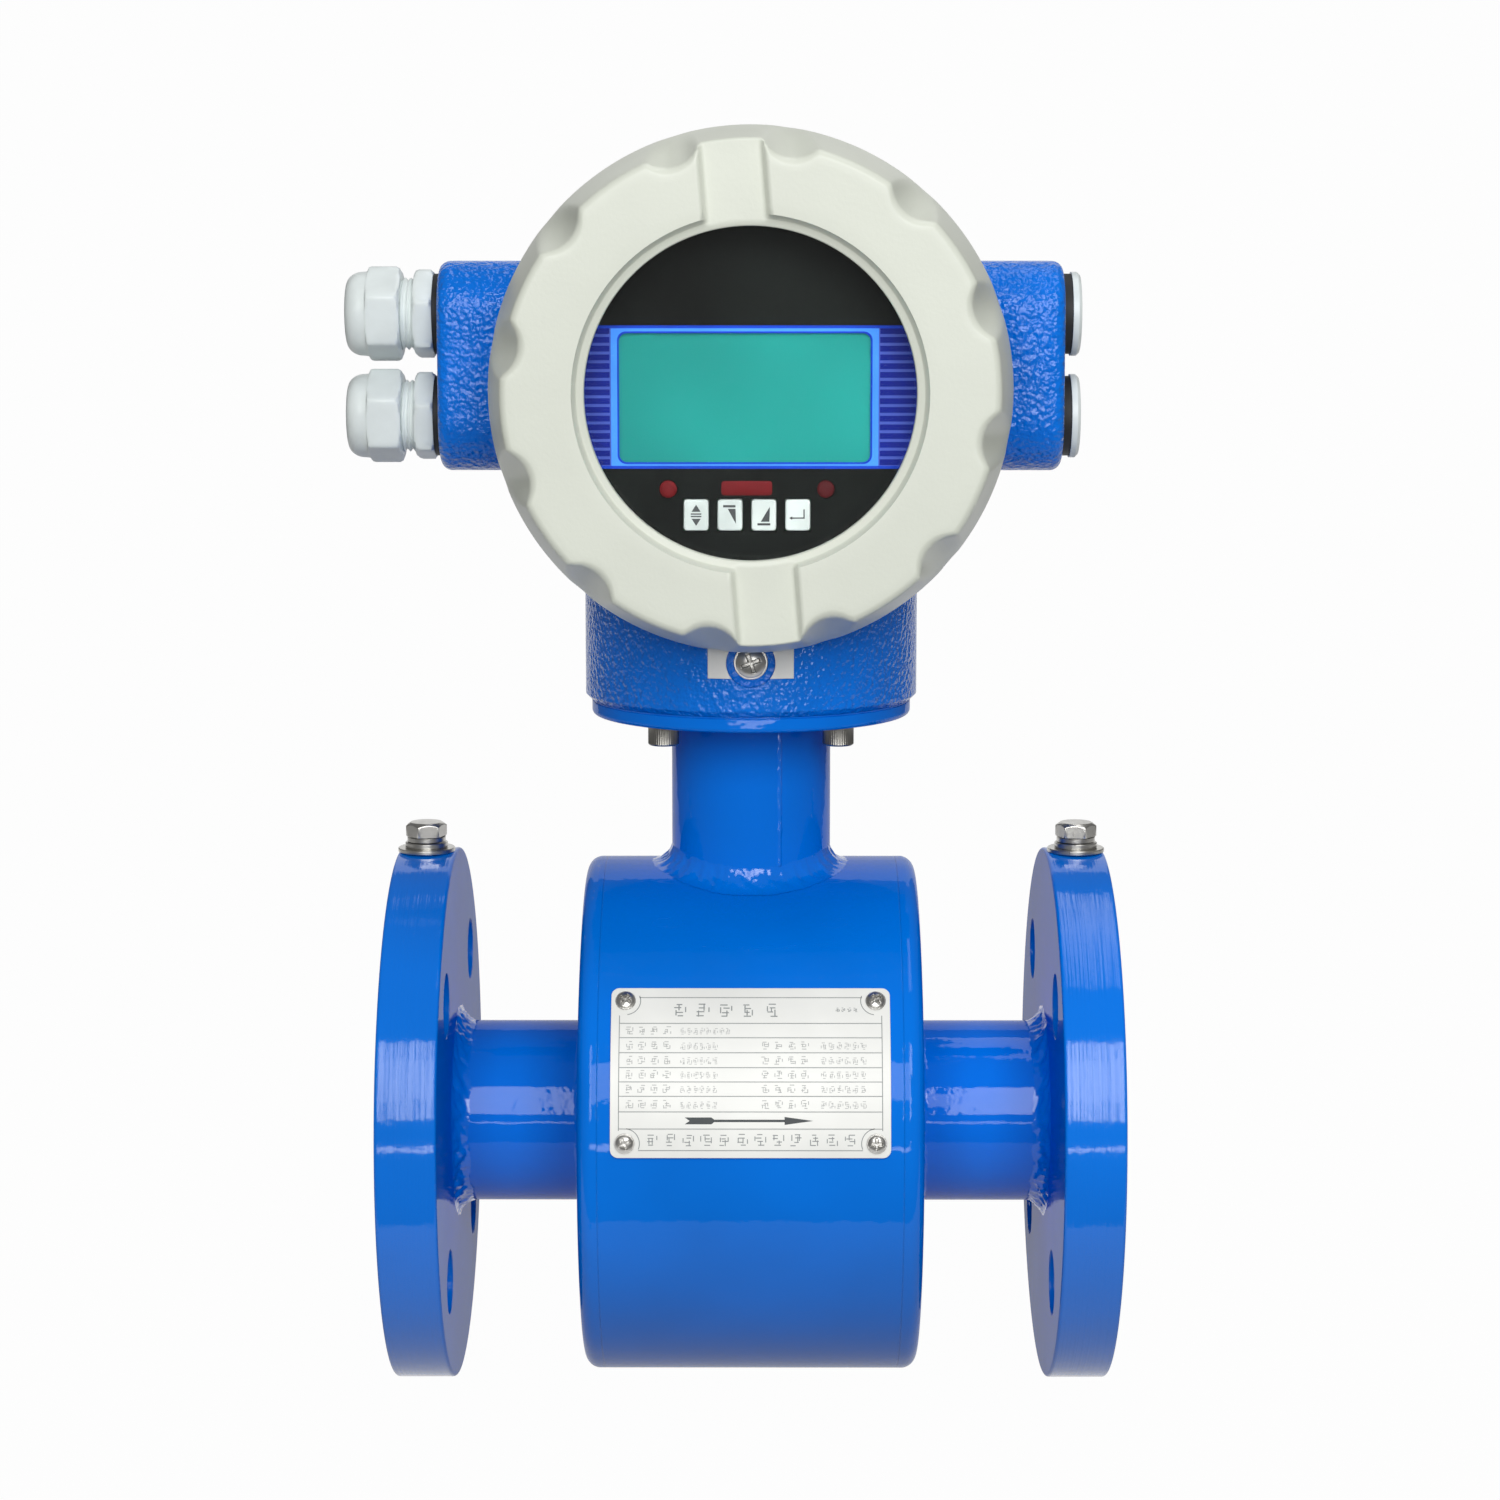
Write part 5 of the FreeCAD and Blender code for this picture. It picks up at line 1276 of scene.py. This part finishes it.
def make_stage():
    """A floor that curves up into a backdrop behind the object."""
    floor = cad_box[0][2]
    depth, rise, bend, half = 1.6, 1.5, 0.6, 0.75
    profile = [(-0.16, floor), (depth - bend, floor)]
    for step in range(1, 13):
        turn = pi / 2 * step / 12
        profile.append((depth - bend + bend * sin(turn), floor + bend * (1 - cos(turn))))
    profile.append((depth, floor + rise))
    mesh = bmesh.new()
    rows = [[Vector((-half, y, z)), Vector((half, y, z))] for y, z in profile]
    grid_skin(mesh, rows, closed_columns=False)
    data = bpy.data.meshes.new("studio_sweep")
    mesh.to_mesh(data)
    mesh.free()
    data.materials.append(stage_material())
    data.shade_smooth()
    added("studio_sweep", data)


def make_world():
    """Even white surroundings: plain to the camera, softer as a light."""
    world = bpy.data.worlds.new("studio")
    bpy.context.scene.world = world
    world.use_nodes = True
    tree = world.node_tree
    background = tree.nodes["Background"]
    background.inputs["Color"].default_value = (1.0, 1.0, 1.0, 1.0)
    path = tree.nodes.new("ShaderNodeLightPath")
    strength = tree.nodes.new("ShaderNodeMapRange")
    strength.inputs["To Min"].default_value = WORLD_LIGHT
    strength.inputs["To Max"].default_value = 1.0
    tree.links.new(path.outputs["Is Camera Ray"], strength.inputs["Value"])
    tree.links.new(strength.outputs["Result"], background.inputs["Strength"])


def softbox(name, where, target, width, height, power):
    """A rectangular softbox aimed at a point."""
    data = bpy.data.lights.new(name, "AREA")
    data.shape = "RECTANGLE"
    data.size = width
    data.size_y = height
    data.energy = power
    item = added(name, data)
    item.location = where
    item.rotation_euler = (Vector(target) - Vector(where)).to_track_quat("-Z", "Y").to_euler()


def make_camera():
    """The camera, looking slightly down at the front."""
    data = bpy.data.cameras.new("camera")
    data.lens = CAMERA_LENS
    data.sensor_width = 36.0
    data.clip_start = 0.01
    item = added("camera", data)
    item.location = CAMERA_PLACE
    item.rotation_euler = (pi / 2 - CAMERA_PITCH, 0.0, CAMERA_YAW)
    bpy.context.scene.camera = item


make_stage()
make_world()
for box in SOFTBOXES:
    softbox(*box)
make_camera()
bpy.context.scene.view_settings.view_transform = "Standard"
